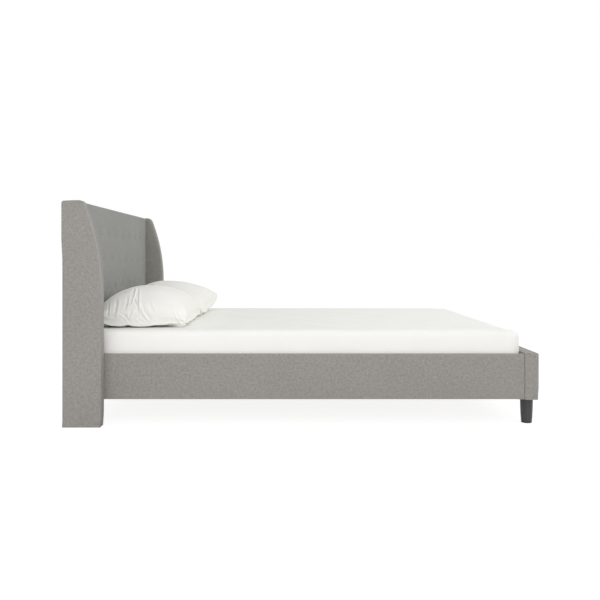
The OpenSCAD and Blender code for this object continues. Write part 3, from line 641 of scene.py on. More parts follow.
class Finishes:
    """Every material of the bed, made once."""

    def __init__(self) -> None:
        """Makes the materials."""
        self.linen = Linen("linen_warm_grey", (133, 131, 126), (171, 169, 164)).material()
        # The headboard's linen is a darker, cooler copy of the wings' linen: painted shade and a painted tint
        # for how the light falls on the headboard's face.
        self.pad_linen = Linen("linen_cool_grey", (131, 131, 127), (165, 165, 161)).material()
        self.cotton = Cotton("percale_white", (250, 250, 246)).material()
        self.sheet_cotton = Cotton("sheet_white", (248, 249, 245), crease=0.11).material()
        self.ticking = Ticking("mattress_ticking", (226, 225, 219)).material()
        self.back_cloth = BackCloth("back_cloth_charcoal", (58, 58, 59)).material()
        self.webbing = Webbing("webbing_ecru", (196, 188, 170)).material()
        pine = {"dark": (176, 134, 84), "light": (222, 192, 146)}
        self.pine = {
            axis: Wood(f"pine_along_{axis.name.lower()}", along=axis, **pine).material() for axis in Axis}
        self.plywood = Plywood("birch_plywood", (176, 142, 98), (214, 186, 146)).material()
        self.leg_wood = Wood(
            "charcoal_stained_wood", (41, 41, 42), (57, 57, 58), Axis.Z, 0.012, (0.4, 0.56), 0.08).material()
        self.black_steel = Metal("black_powder_coat", (40, 41, 43), 0.0, (0.45, 0.62), 0.00025).material()
        self.zinc = Metal("zinc_plated_steel", (186, 189, 192), 1.0, (0.26, 0.42)).material()
        self.nylon = Nylon("black_nylon", (34, 34, 36)).material()


# Shaping


def ripples(points: np.ndarray, wavelength: float, seed: int, waves: int = 9) -> np.ndarray:
    """A smooth random value between about -1 and 1 at each point.

    Args:
        points: The points, one in a row.
        wavelength: The typical distance between two crests, in the points' unit.
        seed: Which pattern it is.
        waves: How many plane waves are summed.

    Returns:
        One value for each point.
    """
    draw = np.random.default_rng(seed)
    directions = draw.normal(size=(waves, points.shape[1]))
    directions /= np.linalg.norm(directions, axis=1, keepdims=True)
    numbers = 2 * np.pi / (wavelength * draw.uniform(0.7, 1.5, waves))
    phases = draw.uniform(0, 2 * np.pi, waves)
    total = np.sin(points @ (directions * numbers[:, None]).T + phases).sum(axis=1)
    return total / math.sqrt(waves)


def lines_over(half: float, step: float, edge: float, turns: int = 5) -> list[float]:
    """Places of grid lines over a width, close together within a rounded edge at both ends.

    Args:
        half: Half of the width.
        step: The distance between lines in the middle.
        edge: The width of the rounded edge.
        turns: The number of lines in each rounded edge.

    Returns:
        The places between the two ends, without the ends.
    """
    near = [half - edge * (1 - math.cos(math.pi / 2 * i / turns)) for i in range(1, turns)]
    count = max(1, round(2 * (half - edge) / step))
    middle = [(half - edge) * (2 * i / count - 1) for i in range(count + 1)]
    return [-place for place in near] + middle + near


def spaced(places: Iterable[float], least: float = 0.0007) -> list[float]:
    """Puts places in order and leaves out each one that lies too close to the one before it.

    Args:
        places: The places.
        least: The distance that is too close.

    Returns:
        The places that stay.
    """
    order = sorted(places)
    return order[:1] + [after for before, after in zip(order, order[1:]) if after - before > least]


def edge_drop(distance: np.ndarray, radius: np.ndarray | float) -> np.ndarray:
    """How far a rounded edge has dropped at a distance from the border.

    Args:
        distance: The distances from the border.
        radius: The rounding.

    Returns:
        The drop at each distance.
    """
    inward = np.clip(radius - distance, 0, radius)
    return radius - np.sqrt(np.maximum(0, radius ** 2 - inward ** 2))


def corner_pull(
    first: np.ndarray, second: np.ndarray, radius: np.ndarray | float
) -> tuple[np.ndarray, np.ndarray]:
    """Draws a square corner in to a round one.

    Args:
        first: The distances from the first of the corner's sides.
        second: The distances from the second.
        radius: The corner's radius.

    Returns:
        How far each place moves away from the first side and from the second.
    """
    over_first = np.clip((radius - first) / radius, 0, 1)
    over_second = np.clip((radius - second) / radius, 0, 1)
    return (
        over_first * (1 - np.sqrt(1 - over_second ** 2 / 2)) * radius,
        over_second * (1 - np.sqrt(1 - over_first ** 2 / 2)) * radius)


def hump(value: np.ndarray, middle: float, width: np.ndarray | float) -> np.ndarray:
    """A bell between 0 and 1.

    Args:
        value: Where it is read.
        middle: The bell's middle.
        width: The distance at which it has fallen to about a third.

    Returns:
        The bell's value.
    """
    return np.exp(-((value - middle) / width) ** 2)


def smooth_step(value: np.ndarray, low: float, high: float) -> np.ndarray:
    """Rises smoothly from 0 at low to 1 at high.

    Args:
        value: Where it is read.
        low: Where the rise starts.
        high: Where it ends.

    Returns:
        The share at each value.
    """
    share = np.clip((value - low) / (high - low), 0, 1)
    return share * share * (3 - 2 * share)


@dataclass(frozen=True)
class Fold:
    """A crease pressed into a padded face along a bowed path, with a ridge on its left-hand side."""

    start: tuple[float, float]
    end: tuple[float, float]
    width: float
    depth: float
    bow: float = 0.0
    ridge: float = 0.55

    def path(self) -> np.ndarray:
        """Follows the crease.

        Returns:
            The places along it, from its start to its end.
        """
        share = np.linspace(0, 1, 17)[:, None]
        run = np.array(self.end) - np.array(self.start)
        aside = np.array([-run[1], run[0]]) / np.hypot(*run)
        return np.array(self.start) + share * run + self.bow * 4 * share * (1 - share) * aside

    def relief(self, a: np.ndarray, b: np.ndarray) -> np.ndarray:
        """How far the crease lowers a face, and raises it along one side.

        Args:
            a: Places on the face along its first direction.
            b: Places along its second direction.

        Returns:
            The rise at each place, negative in the crease.
        """
        path = self.path()
        nearest, aside, ahead = np.full(a.shape, np.inf), np.zeros_like(a), np.zeros_like(a)
        for i, (first, last) in enumerate(zip(path, path[1:])):
            run = last - first
            off_a, off_b = a - first[0], b - first[1]
            along = np.clip((off_a * run[0] + off_b * run[1]) / (run @ run), 0, 1)
            off = np.hypot(off_a - along * run[0], off_b - along * run[1])
            closer = off < nearest
            nearest = np.where(closer, off, nearest)
            aside = np.where(closer, off * np.sign(run[0] * off_b - run[1] * off_a), aside)
            ahead = np.where(closer, (i + along) / (len(path) - 1), ahead)
        taper = smooth_step(ahead, 0.0, 0.3) * smooth_step(ahead, 1.0, 0.6)
        ridge = self.ridge * hump(aside, 1.7 * self.width, self.width)
        return self.depth * taper * (ridge - hump(aside, 0, self.width))


@dataclass
class Piece:
    """A mesh on its way to being a piece of the bed."""

    name: str
    bm: bmesh.types.BMesh = field(default_factory=bmesh.new)

    def block(self, half: Sequence[float], cuts: Sequence[Iterable[float]]) -> "Piece":
        """Starts from a block round the origin, cut by planes across each axis.

        Args:
            half: Half of the block's size on each axis.
            cuts: The places of the planes on each axis.

        Returns:
            This piece.
        """
        bmesh.ops.create_cube(self.bm, size=2.0, matrix=Matrix.Diagonal((*half, 1.0)))
        for axis, places in enumerate(cuts):
            normal = Vector((0.0, 0.0, 0.0))
            normal[axis] = 1.0
            for place in places:
                bmesh.ops.bisect_plane(
                    self.bm, geom=self.bm.verts[:] + self.bm.edges[:] + self.bm.faces[:], dist=1e-7,
                    plane_co=normal * place, plane_no=normal)
        return self

    def grid(self, half_a: float, half_b: float, step: float) -> "Piece":
        """Starts from a flat grid round the origin.

        Args:
            half_a: Half of its size along its first axis.
            half_b: Half of its size along its second axis.
            step: The size of its cells.

        Returns:
            This piece.
        """
        bmesh.ops.create_grid(
            self.bm, x_segments=max(1, round(2 * half_a / step)), y_segments=max(1, round(2 * half_b / step)),
            size=1.0, matrix=Matrix.Diagonal((half_a, half_b, 1.0, 1.0)))
        return self

    def points(self) -> np.ndarray:
        """The places of the mesh's points."""
        return np.array([v.co for v in self.bm.verts], float).reshape(-1, 3)

    def move_to(self, points: np.ndarray) -> "Piece":
        """Moves every point of the mesh.

        Args:
            points: The new places, in the mesh's order.

        Returns:
            This piece.
        """
        for vertex, place in zip(self.bm.verts, points):
            vertex.co = place
        return self

    def shape(self, form: Callable[[np.ndarray], np.ndarray]) -> "Piece":
        """Moves every point to where a form puts it.

        Args:
            form: Takes the points and gives their new places.

        Returns:
            This piece.
        """
        return self.move_to(form(self.points()))

    def in_order(self) -> "Piece":
        """Sorts edges and faces by their points, as solidify leaves them in another order each run.

        Returns:
            This piece.
        """
        self.bm.verts.index_update()
        many = len(self.bm.verts)
        for parts in (self.bm.edges, self.bm.faces):
            parts.sort(
                key=lambda part: many * min(v.index for v in part.verts) + max(v.index for v in part.verts))
        return self

    def finer(self) -> "Piece":
        """Divides every face in four and rounds the mesh off.

        Returns:
            This piece.
        """
        mesh = bpy.data.meshes.new("coarse")
        self.bm.to_mesh(mesh)
        coarse = bpy.data.objects.new("coarse", mesh)
        bpy.context.scene.collection.objects.link(coarse)
        smooth = coarse.modifiers.new("smooth", "SUBSURF")
        smooth.levels = smooth.render_levels = 1
        shown = coarse.evaluated_get(bpy.context.evaluated_depsgraph_get())
        self.bm.clear()
        self.bm.from_mesh(shown.to_mesh())
        shown.to_mesh_clear()
        bpy.data.objects.remove(coarse)
        return self

    def remove(self, unwanted: Callable[[Vector], bool]) -> "Piece":
        """Removes the faces whose middle a test picks.

        Args:
            unwanted: Takes a face's middle and says whether the face goes.

        Returns:
            This piece.
        """
        picked = [f for f in self.bm.faces if unwanted(f.calc_center_median())]
        bmesh.ops.delete(self.bm, geom=picked, context="FACES")
        return self

    def made(
        self, material: bpy.types.Material, weave: bool = True, flat: Callable[[Vector], bool] | None = None
    ) -> bpy.types.Object:
        """Makes the object, smooth and with its finish.

        Args:
            material: The finish.
            weave: Whether the cloth's threads get their own map.
            flat: Picks faces, by their normal, that stay flat.

        Returns:
            The object.
        """
        bmesh.ops.recalc_face_normals(self.bm, faces=self.bm.faces[:])
        for face in self.bm.faces:
            face.smooth = flat is None or not flat(face.normal)
        mesh = bpy.data.meshes.new(self.name)
        self.bm.to_mesh(mesh)
        self.bm.free()
        made = bpy.data.objects.new(self.name, mesh)
        bpy.context.scene.collection.objects.link(made)
        mesh.materials.append(material)
        if weave:
            map_threads(mesh)
        return made


def map_threads(mesh: bpy.types.Mesh) -> None:
    """Lays the cloth's threads over a mesh, in metres, along the two axes that each face lies nearest to.

    Args:
        mesh: The mesh that gets the map.
    """
    count = len(mesh.loops)
    places = np.empty(len(mesh.vertices) * 3)
    mesh.vertices.foreach_get("co", places)
    corners = np.empty(count, int)
    mesh.loops.foreach_get("vertex_index", corners)
    normals = np.empty(len(mesh.polygons) * 3)
    mesh.polygons.foreach_get("normal", normals)
    sizes = np.empty(len(mesh.polygons), int)
    mesh.polygons.foreach_get("loop_total", sizes)
    facing = np.repeat(np.abs(normals.reshape(-1, 3)).argmax(axis=1), sizes)
    at = places.reshape(-1, 3)[corners]
    across = np.where(facing == 0, at[:, 1], at[:, 0])
    up = np.where(facing == 2, at[:, 1], at[:, 2])
    layer = mesh.uv_layers.new(name=WEAVE_MAP)
    layer.data.foreach_set("uv", np.stack([across, up], axis=1).ravel())


def thicken(made: bpy.types.Object, thickness: float, offset: float = -1.0) -> bpy.types.Object:
    """Gives a cloth its thickness.

    Args:
        made: The cloth.
        thickness: Its thickness.
        offset: -1 to grow inwards, 1 outwards and 0 to both sides.

    Returns:
        The same object.
    """
    modifier = made.modifiers.new("thickness", "SOLIDIFY")
    modifier.thickness = thickness
    modifier.offset = offset
    modifier.use_even_offset = True
    return made


# The headboard


@dataclass
class Headboard:
    """The tufted pad with its buttons, the roll over its top, its apron and its back cloth."""

    finishes: Finishes
    half_width: float = 0.7897
    board_x: float = -1.050
    back_x: float = -1.079
    frame_back_x: float = -1.077
    rail_bottom_z: float = 0.116
    pad_bottom_z: float = 0.335
    frame_top_z: float = 1.011
    top_z: float = 1.0253
    pad_thickness: float = 0.038
    border: float = 0.022
    top_border: float = 0.012
    cell: float = 0.0043
    crowding: float = 0.12
    tuft_pitch: float = 0.172
    tuft_row_pitch: float = 0.139
    tuft_rows: int = 4
    first_tuft_z: float = 0.888
    tuft_inset: float = 0.060
    tuft_depth: float = 0.0044
    tuft_reach: float = 0.120
    tuft_overlap: float = 0.35
    well_radius: float = 0.0215
    well_share: float = 0.74
    dish_radius: float = 0.030
    fold_depth: float = 0.0010
    fold_length: float = 0.046
    fold_width: float = 0.0045
    pucker_depth: float = 0.0004
    pucker_radius: float = 0.019
    pucker_width: float = 0.011
    puckers: int = 9
    slack: tuple[float, float] = (0.0007, 0.0003)
    proud: float = 0.0003
    gather_depth: float = 0.0009
    seat_x: float = -1.0168
    button_radius: float = 0.012
    button_height: float = 0.0032
    button_tilt: float = 0.09
    button_profile: tuple[tuple[float, float], ...] = (
        (0.0, 1.0), (0.35, 0.97), (0.66, 0.84), (0.87, 0.58),
        (1.0, 0.26), (0.985, 0.1), (0.93, 0.0), (0.0, 0.0))
    roll_radius: float = 0.011
    roll_gap: float = 0.0002
    roll_gathers: float = 0.0004
    roll_waves: float = 0.0005
    apron_out: float = 0.0012
    apron_waves: float = 0.00035
    back_out: float = 0.0009
    back_hem: float = 0.0004
    back_scallops: float = 0.00035
    back_slack: float = 0.0005
    staple_crown: float = 0.010
    staple_wire: float = 0.0009
    staple_inset: float = 0.012
    staple_pitch: float = 0.055
    staple_corner: float = 0.030

    def tufts(self) -> list[tuple[float, float]]:
        """Lists the places of the buttons, every second row shifted by half a pitch.

        Returns:
            The places across and up.
        """
        half_pitch = self.tuft_pitch / 2
        half_steps = int(self.half_width / half_pitch)
        return [
            (step * half_pitch, self.first_tuft_z - row * self.tuft_row_pitch)
            for row in range(self.tuft_rows)
            for step in range(-half_steps, half_steps + 1)
            if abs(step) % 2 == (row + 1) % 2 and abs(step) * half_pitch < self.half_width - self.tuft_inset]

    def tuft_relief(self, y: np.ndarray, z: np.ndarray) -> np.ndarray:
        """How far the linen is drawn in by the tufts.

        Args:
            y: Places across the pad.
            z: Heights on the pad.

        Returns:
            The depth below the pad's fullest, at each place.
        """
        draw = np.random.default_rng(41)
        depth = np.zeros_like(y)
        slope = math.atan2(self.tuft_row_pitch, self.tuft_pitch / 2)
        for centre_y, centre_z in self.tufts():
            dy, dz = y - centre_y, z - centre_z
            reach = np.hypot(dy, dz)
            near = reach < self.tuft_reach
            r, angle = reach[near], np.arctan2(dz[near], dy[near])
            dish = (1 - self.well_share) / (1 + (r / self.dish_radius) ** 2)
            well = self.well_share * hump(r, 0, self.well_radius) + dish
            folds = np.zeros_like(r)
            for turn in (slope, math.pi - slope, slope - math.pi, -slope):
                lean = turn + draw.uniform(-0.07, 0.07)
                aside = r * np.sin(angle - lean)
                ahead = r * np.cos(angle - lean)
                length = self.fold_length * draw.uniform(0.85, 1.25)
                width = self.fold_width + 0.1 * np.maximum(ahead, 0)
                folds += (ahead > 0) * hump(aside, 0, width) * hump(ahead, 0, length)
            ring = hump(r, self.pucker_radius, self.pucker_width)
            puckers = np.cos(angle * self.puckers + draw.uniform(0, 6.28)) * ring
            drawn = self.tuft_depth * well + self.fold_depth * folds + self.pucker_depth * puckers
            patch = np.zeros_like(y)
            patch[near] = drawn * smooth_step(r, self.tuft_reach, 0.75 * self.tuft_reach)
            depth = np.maximum(depth, patch) + self.tuft_overlap * np.minimum(depth, patch)
        return depth

    def pad_face(self, points: np.ndarray) -> np.ndarray:
        """Shapes the pad's flat grid.

        Args:
            points: The grid's points.

        Returns:
            Their places on the pad's face.
        """
        y = points[:, 0] * self.half_width
        middle = (self.pad_bottom_z + self.top_z) / 2
        z = middle + points[:, 1] * (self.top_z - middle)
        inside = np.minimum(self.half_width - np.abs(y), z - self.pad_bottom_z) / self.border
        share = np.clip(np.minimum(inside, (self.top_z - z) / self.top_border), 0, 1)
        round_over = np.sqrt(np.maximum(0, 1 - (1 - share) ** 2))
        flat = np.stack([y, z], axis=1)
        loose = self.slack[0] * ripples(flat, 0.16, 7) + self.slack[1] * ripples(flat, 0.035, 8)
        at_top_ends = hump(z, self.top_z - self.top_border, 0.016) * smooth_step(np.abs(y), 0.60, 0.74)
        gathers = self.gather_depth * np.sin(y / 0.0021 + 3 * np.sin(y / 0.07)) * at_top_ends
        depth = self.tuft_relief(y, z) + loose + gathers
        x = self.board_x + (self.pad_thickness - np.maximum(depth, -self.proud)) * round_over
        return np.stack([x, y, z], axis=1)

    def build_pad(self) -> bpy.types.Object:
        """Builds the tufted pad with a flat back.

        Returns:
            The pad.
        """
        piece = Piece("tufted_pad")
        count_y = round(2 * self.half_width / self.cell)
        count_z = round((self.top_z - self.pad_bottom_z) / self.cell)
        bmesh.ops.create_grid(piece.bm, x_segments=count_y, y_segments=count_z, size=1.0)
        warped = piece.points()
        crowded = np.sin(warped[:, :2] * math.pi / 2 * 0.999)
        warped[:, :2] = crowded * self.crowding + warped[:, :2] * (1 - self.crowding)
        piece.move_to(warped / np.array([np.abs(warped[:, 0]).max(), np.abs(warped[:, 1]).max(), 1]))
        piece.shape(self.pad_face)
        bmesh.ops.contextual_create(piece.bm, geom=[edge for edge in piece.bm.edges if edge.is_boundary])
        made = piece.made(self.finishes.pad_linen, flat=lambda normal: normal.x < -0.99)
        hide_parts("head_cushion")
        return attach(made, "frame")

    def build_buttons(self) -> bpy.types.Object:
        """Builds the covered buttons at the bottoms of the tufts, each a little askew.

        Returns:
            The buttons, as one object.
        """
        piece = Piece("linen_buttons")
        draw = np.random.default_rng(3)
        for y, z in self.tufts():
            corners = [
                bmesh.ops.create_vert(
                    piece.bm, co=(self.button_height * rise, self.button_radius * out, 0.0))["vert"][0]
                for out, rise in self.button_profile]
            edges = [piece.bm.edges.new(pair) for pair in zip(corners, corners[1:])]
            bmesh.ops.spin(
                piece.bm, geom=corners + edges, cent=(0, 0, 0), axis=(1, 0, 0), angle=2 * math.pi, steps=24,
                use_merge=True, use_normal_flip=False, use_duplicate=False)
            fresh = [vertex for vertex in piece.bm.verts if abs(vertex.co.x) < self.button_radius]
            turn, nod = (draw.uniform(-self.button_tilt, self.button_tilt) for _ in range(2))
            tilt = Matrix.Rotation(turn, 4, "Z") @ Matrix.Rotation(nod, 4, "Y")
            bmesh.ops.transform(piece.bm, verts=fresh, matrix=Matrix.Translation((self.seat_x, y, z)) @ tilt)
        bmesh.ops.remove_doubles(piece.bm, verts=piece.bm.verts[:], dist=1e-6)
        made = piece.made(self.finishes.pad_linen)
        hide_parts("tuft_buttons")
        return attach(made, "frame")

    def roll_form(self, points: np.ndarray) -> np.ndarray:
        """Rounds the roll towards the back and lays slight waves on it.

        Args:
            points: The points of its gridded block.

        Returns:
            Their places on the roll.
        """
        depth, height = self.board_x - self.back_x, self.top_z - self.frame_top_z - self.roll_gap
        x, y, z = points.T
        top = height - edge_drop(x + depth / 2, self.roll_radius)
        share = z / height + 0.5
        gathers = self.roll_gathers * np.sin(y / 0.0035) * hump(np.abs(y), self.half_width, 0.12)
        wave = self.roll_waves * ripples(np.stack([x * 4, y], axis=1), 0.12, 15) + gathers
        up = self.frame_top_z + self.roll_gap + share * np.minimum(height, top + wave * share)
        return np.stack([x + (self.board_x + self.back_x) / 2, y, up], axis=1)

    def build_roll(self) -> bpy.types.Object:
        """Builds the padded roll over the top edge.

        Returns:
            The roll.
        """
        depth, height = self.board_x - self.back_x, self.top_z - self.frame_top_z - self.roll_gap
        piece = Piece("top_roll").block(
            (depth / 2, self.half_width, height / 2),
            (lines_over(depth / 2, 0.005, self.roll_radius, 6), lines_over(self.half_width, 0.012, 0.01, 2),
             [height * (i / 4 - 0.5) for i in (1, 2, 3)]))
        made = piece.shape(self.roll_form).made(self.finishes.pad_linen)
        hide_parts("head_top_roll")
        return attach(made, "frame")

    def apron_form(self, points: np.ndarray) -> np.ndarray:
        """Stands a flat grid up in front of the face board.

        Args:
            points: The grid's points.

        Returns:
            Their places on the apron.
        """
        wave = self.apron_waves * (1 + ripples(points[:, :2], 0.11, 21)) / 2
        middle_z = (self.pad_bottom_z + self.rail_bottom_z) / 2
        return np.stack([self.board_x + self.apron_out + wave, points[:, 0], points[:, 1] + middle_z], axis=1)

    def build_apron(self) -> bpy.types.Object:
        """Builds the plain linen below the pad.

        Returns:
            The apron.
        """
        half_z = (self.pad_bottom_z - self.rail_bottom_z) / 2
        piece = Piece("apron_linen").grid(self.half_width, half_z, 0.016)
        made = thicken(piece.shape(self.apron_form).made(self.finishes.pad_linen), 0.001)
        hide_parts("head_apron")
        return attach(made, "frame")

    def back_form(self, points: np.ndarray) -> np.ndarray:
        """Stands a flat grid up behind the frame, with a turned hem and slack between the rails.

        Args:
            points: The grid's points.

        Returns:
            Their places on the back.
        """
        half_z = (self.frame_top_z - self.rail_bottom_z) / 2
        y, z = points[:, 0], points[:, 1]
        inside = np.minimum(self.half_width - np.abs(y), half_z - np.abs(z))
        hem = self.back_hem * smooth_step(inside, 0.024, 0.018)
        at_staples = hump(half_z - np.abs(z), self.staple_inset, 0.03)
        scallop = self.back_scallops * np.cos(2 * math.pi * y / 0.06) * at_staples
        waves = ripples(points[:, :2] * np.array([1.0, 0.45]), 0.13, 33)
        slack = self.back_slack * (waves + 0.4) * smooth_step(inside, 0.03, 0.12)
        x = self.frame_back_x - self.back_out - hem - np.clip(scallop + slack, -0.0003, 0.0006)
        return np.stack([x, y, z + self.rail_bottom_z + half_z], axis=1)

    def build_back(self) -> bpy.types.Object:
        """Builds the cloth over the back, drawn tight between its staples.

        Returns:
            The back cloth.
        """
        piece = Piece("back_cloth").grid(self.half_width, (self.frame_top_z - self.rail_bottom_z) / 2, 0.012)
        made = thicken(piece.shape(self.back_form).made(self.finishes.back_cloth), 0.0004)
        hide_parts("head_back_cover")
        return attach(made, "frame")

    def build_staples(self) -> bpy.types.Object:
        """Builds the staples along the back cloth's hem.

        Returns:
            The staples, as one object.
        """
        piece = Piece("back_staples")
        wire, corner = self.staple_wire, self.staple_corner
        low, high = self.rail_bottom_z + self.staple_inset, self.frame_top_z - self.staple_inset
        edge = self.half_width - self.staple_inset
        across = np.linspace(-edge + corner, edge - corner, round(2 * edge / self.staple_pitch))
        up = np.linspace(low + corner, high - corner, round((high - low) / self.staple_pitch))
        places = [(y, z, 0.0) for y in across for z in (low, high)]
        places += [(y, z, math.pi / 2) for z in up for y in (-edge, edge)]
        for y, z, turn in places:
            upright = Matrix.Translation((self.back_x + 0.0002, y, z)) @ Matrix.Rotation(turn, 4, "X")
            size = Matrix.Diagonal((wire, self.staple_crown, wire, 1.0))
            bmesh.ops.create_cube(piece.bm, size=1.0, matrix=upright @ size)
        bmesh.ops.bevel(
            piece.bm, geom=piece.bm.edges[:], offset=wire * 0.3, segments=2, profile=0.5, affect="EDGES",
            material=-1)
        made = piece.made(self.finishes.zinc, weave=False)
        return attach(made, "frame")

    def build(self) -> list[bpy.types.Object]:
        """Builds every piece of the headboard.

        Returns:
            The pieces.
        """
        return [
            self.build_pad(), self.build_buttons(), self.build_roll(), self.build_apron(), self.build_back(),
            self.build_staples()]


# The wings


@dataclass
class Wing:
    """One padded wing, with the pleats that turn its linen over the front top corner."""

    finishes: Finishes
    side: Side
    back_x: float = -1.079
    inner_y: float = 0.790
    thickness: float = 0.060
    bottom_z: float = 0.003
    top_z: float = 1.023
    depth: float = 0.176
    top_depth: float = 0.100
    straight_z: float = 0.600
    front_corner: float = 0.018
    back_corner: float = 0.012
    edge_radius: float = 0.010
    front_radius: float = 0.006
    bottom_radius: float = 0.003
    toe_height: float = 0.084
    toe_in: float = 0.0045
    lean: float = 0.0045
    hang: float = 0.0025
    droop: float = 0.0020
    edge_blend: float = 0.030
    back_blend: float = 0.060
    inner_back_radius: float = 0.0015
    crown: float = 0.0016
    slack: float = 0.0005
    welt: float = 0.0007
    cell: float = 0.006
    top_cuts: tuple[float, ...] = (12, 13.7, 15.3, 17, 19, 21, 23, 25, 27, 31, 35)
    front_cuts: tuple[float, ...] = (0.3, 1.2, 2.6, 4.4, 6.6, 9.2, 12, 15, 18, 21)
    pleats: tuple[Fold, ...] = (
        Fold((-0.995, 1.0190), (-0.986, 0.986), 0.0030, 0.0020),
        Fold((-0.9840, 1.0185), (-0.971, 0.983), 0.0028, 0.0020),
        Fold((-0.9775, 1.0160), (-0.958, 0.988), 0.0028, 0.0018))

    def front_depth(self, z: np.ndarray) -> np.ndarray:
        """The wing's depth at each height.

        Args:
            z: Heights above the floor.

        Returns:
            The depth from the back to the front edge.
        """
        run, rise = self.depth - self.top_depth, self.top_z - self.front_corner - self.straight_z
        sweep = (rise ** 2 + run ** 2) / (2 * run)
        toe = (self.toe_height ** 2 + self.toe_in ** 2) / (2 * self.toe_in)
        above = np.clip(z - self.straight_z, 0, None)
        below = np.clip(self.bottom_z + self.toe_height - z, 0, None)
        return self.depth - sweep + np.sqrt(sweep ** 2 - above ** 2) - toe + np.sqrt(toe ** 2 - below ** 2)

    def form(self, points: np.ndarray) -> np.ndarray:
        """Shapes the wing's gridded block.

        Args:
            points: The block's points: across the depth, up the height and through the thickness.

        Returns:
            Their places on the wing.
        """
        half_a, half_b, half_c = self.depth / 2, (self.top_z - self.bottom_z) / 2, self.thickness / 2
        a, b, c = points[:, 0], points[:, 1], points[:, 2] / half_c
        narrow = self.front_depth(b + self.bottom_z + half_b) / self.depth
        front, back = (half_a - a) * narrow, (half_a + a) * narrow
        top, bottom = half_b - b, half_b + b
        inside = np.minimum(np.minimum(front, back), np.minimum(top, bottom))
        crisp = (self.edge_radius - self.front_radius) * smooth_step(front, self.edge_blend, 0.0)
        sharp = (self.edge_radius - self.bottom_radius) * smooth_step(bottom, self.edge_blend, 0.0)
        snug = (self.edge_radius - self.inner_back_radius) * smooth_step(back, self.edge_blend, 0.0)
        less = np.maximum(np.maximum(crisp, sharp), snug * (self.side.value * c < 0))
        half_here = half_c - edge_drop(inside, self.edge_radius - less)
        corner = np.where(a > 0, self.front_corner, self.back_corner)
        pulled_x, pulled_z = corner_pull(np.where(a > 0, front, back), top, corner)
        z = b + half_b
        at_back = smooth_step(back, self.back_blend, 0.0)
        x = np.where(a > 0, back - pulled_x, back + pulled_x)
        x = x - self.lean * smooth_step(z, 0.74, 0.86) * at_back
        z = z - pulled_z - self.hang * smooth_step(bottom, 0.05, 0.0)
        z = z - self.droop * smooth_step(top, 0.10, 0.0) * at_back
        relief = self.crown * smooth_step(inside, 0.004, 0.06)
        relief = relief + self.welt * hump(front, 0.0085, 0.003) * smooth_step(z, 0.4, 0.7)
        for pleat in self.pleats:
            relief = relief + pleat.relief(self.back_x + x, self.bottom_z + z)
        waves = ripples(np.stack([a, b], axis=1), 0.17, 51 + self.side.value)
        relief = relief + self.slack * waves * smooth_step(inside, 0.0, 0.02)
        y = c * (half_here + relief)
        return np.stack([
            self.back_x + x, self.side.value * (self.inner_y + half_c) + y, self.bottom_z + z], axis=1)

    def mark_welt(self, made: bpy.types.Object) -> bpy.types.Object:
        """Marks the band along the curved front edge that gets a painted highlight, paler linen standing in
        for the light that the rounded seam catches.

        Args:
            made: The wing's linen.

        Returns:
            The same object.
        """
        places = np.empty(len(made.data.vertices) * 3)
        made.data.vertices.foreach_get("co", places)
        x, y, z = places.reshape(-1, 3).T
        off_x = self.back_x + self.front_depth(np.minimum(z, self.top_z - self.front_corner)) - x
        off_y = self.inner_y + self.thickness - np.abs(y)
        # The painted highlight's band, a little inside the front edge, from about half height upward.
        welt = hump(0.25 * off_y - off_x, 0.0022, 0.0022) * smooth_step(z, 0.50, 0.64)
        made.data.attributes.new(WELT_HIGHLIGHT_MAP, "FLOAT", "POINT").data.foreach_set("value", welt)
        return made

    def build(self) -> list[bpy.types.Object]:
        """Builds the wing, with closer cuts where the pleats and the front edge lie.

        Returns:
            The wing's linen.
        """
        half_a, half_b, half_c = self.depth / 2, (self.top_z - self.bottom_z) / 2, self.thickness / 2
        narrow = self.top_depth / self.depth
        across = spaced(lines_over(half_a, self.cell, self.edge_radius, 6) + [
            half_a - millimetres / 1000 / narrow for millimetres in self.front_cuts])
        up = spaced(lines_over(half_b, self.cell * 1.3, self.edge_radius, 6) + [
            half_b - millimetres / 1000 for millimetres in self.top_cuts])
        rim = [half_c * (i / 5 - 1) for i in range(1, 10)]
        piece = Piece(f"wing_linen_{self.side.word}").block((half_a, half_b, half_c), (across, up, rim))
        made = self.mark_welt(piece.shape(self.form).made(self.finishes.linen))
        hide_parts(f"wing_cover_{self.side.word}")
        return [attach(made, "frame")]


# The rails


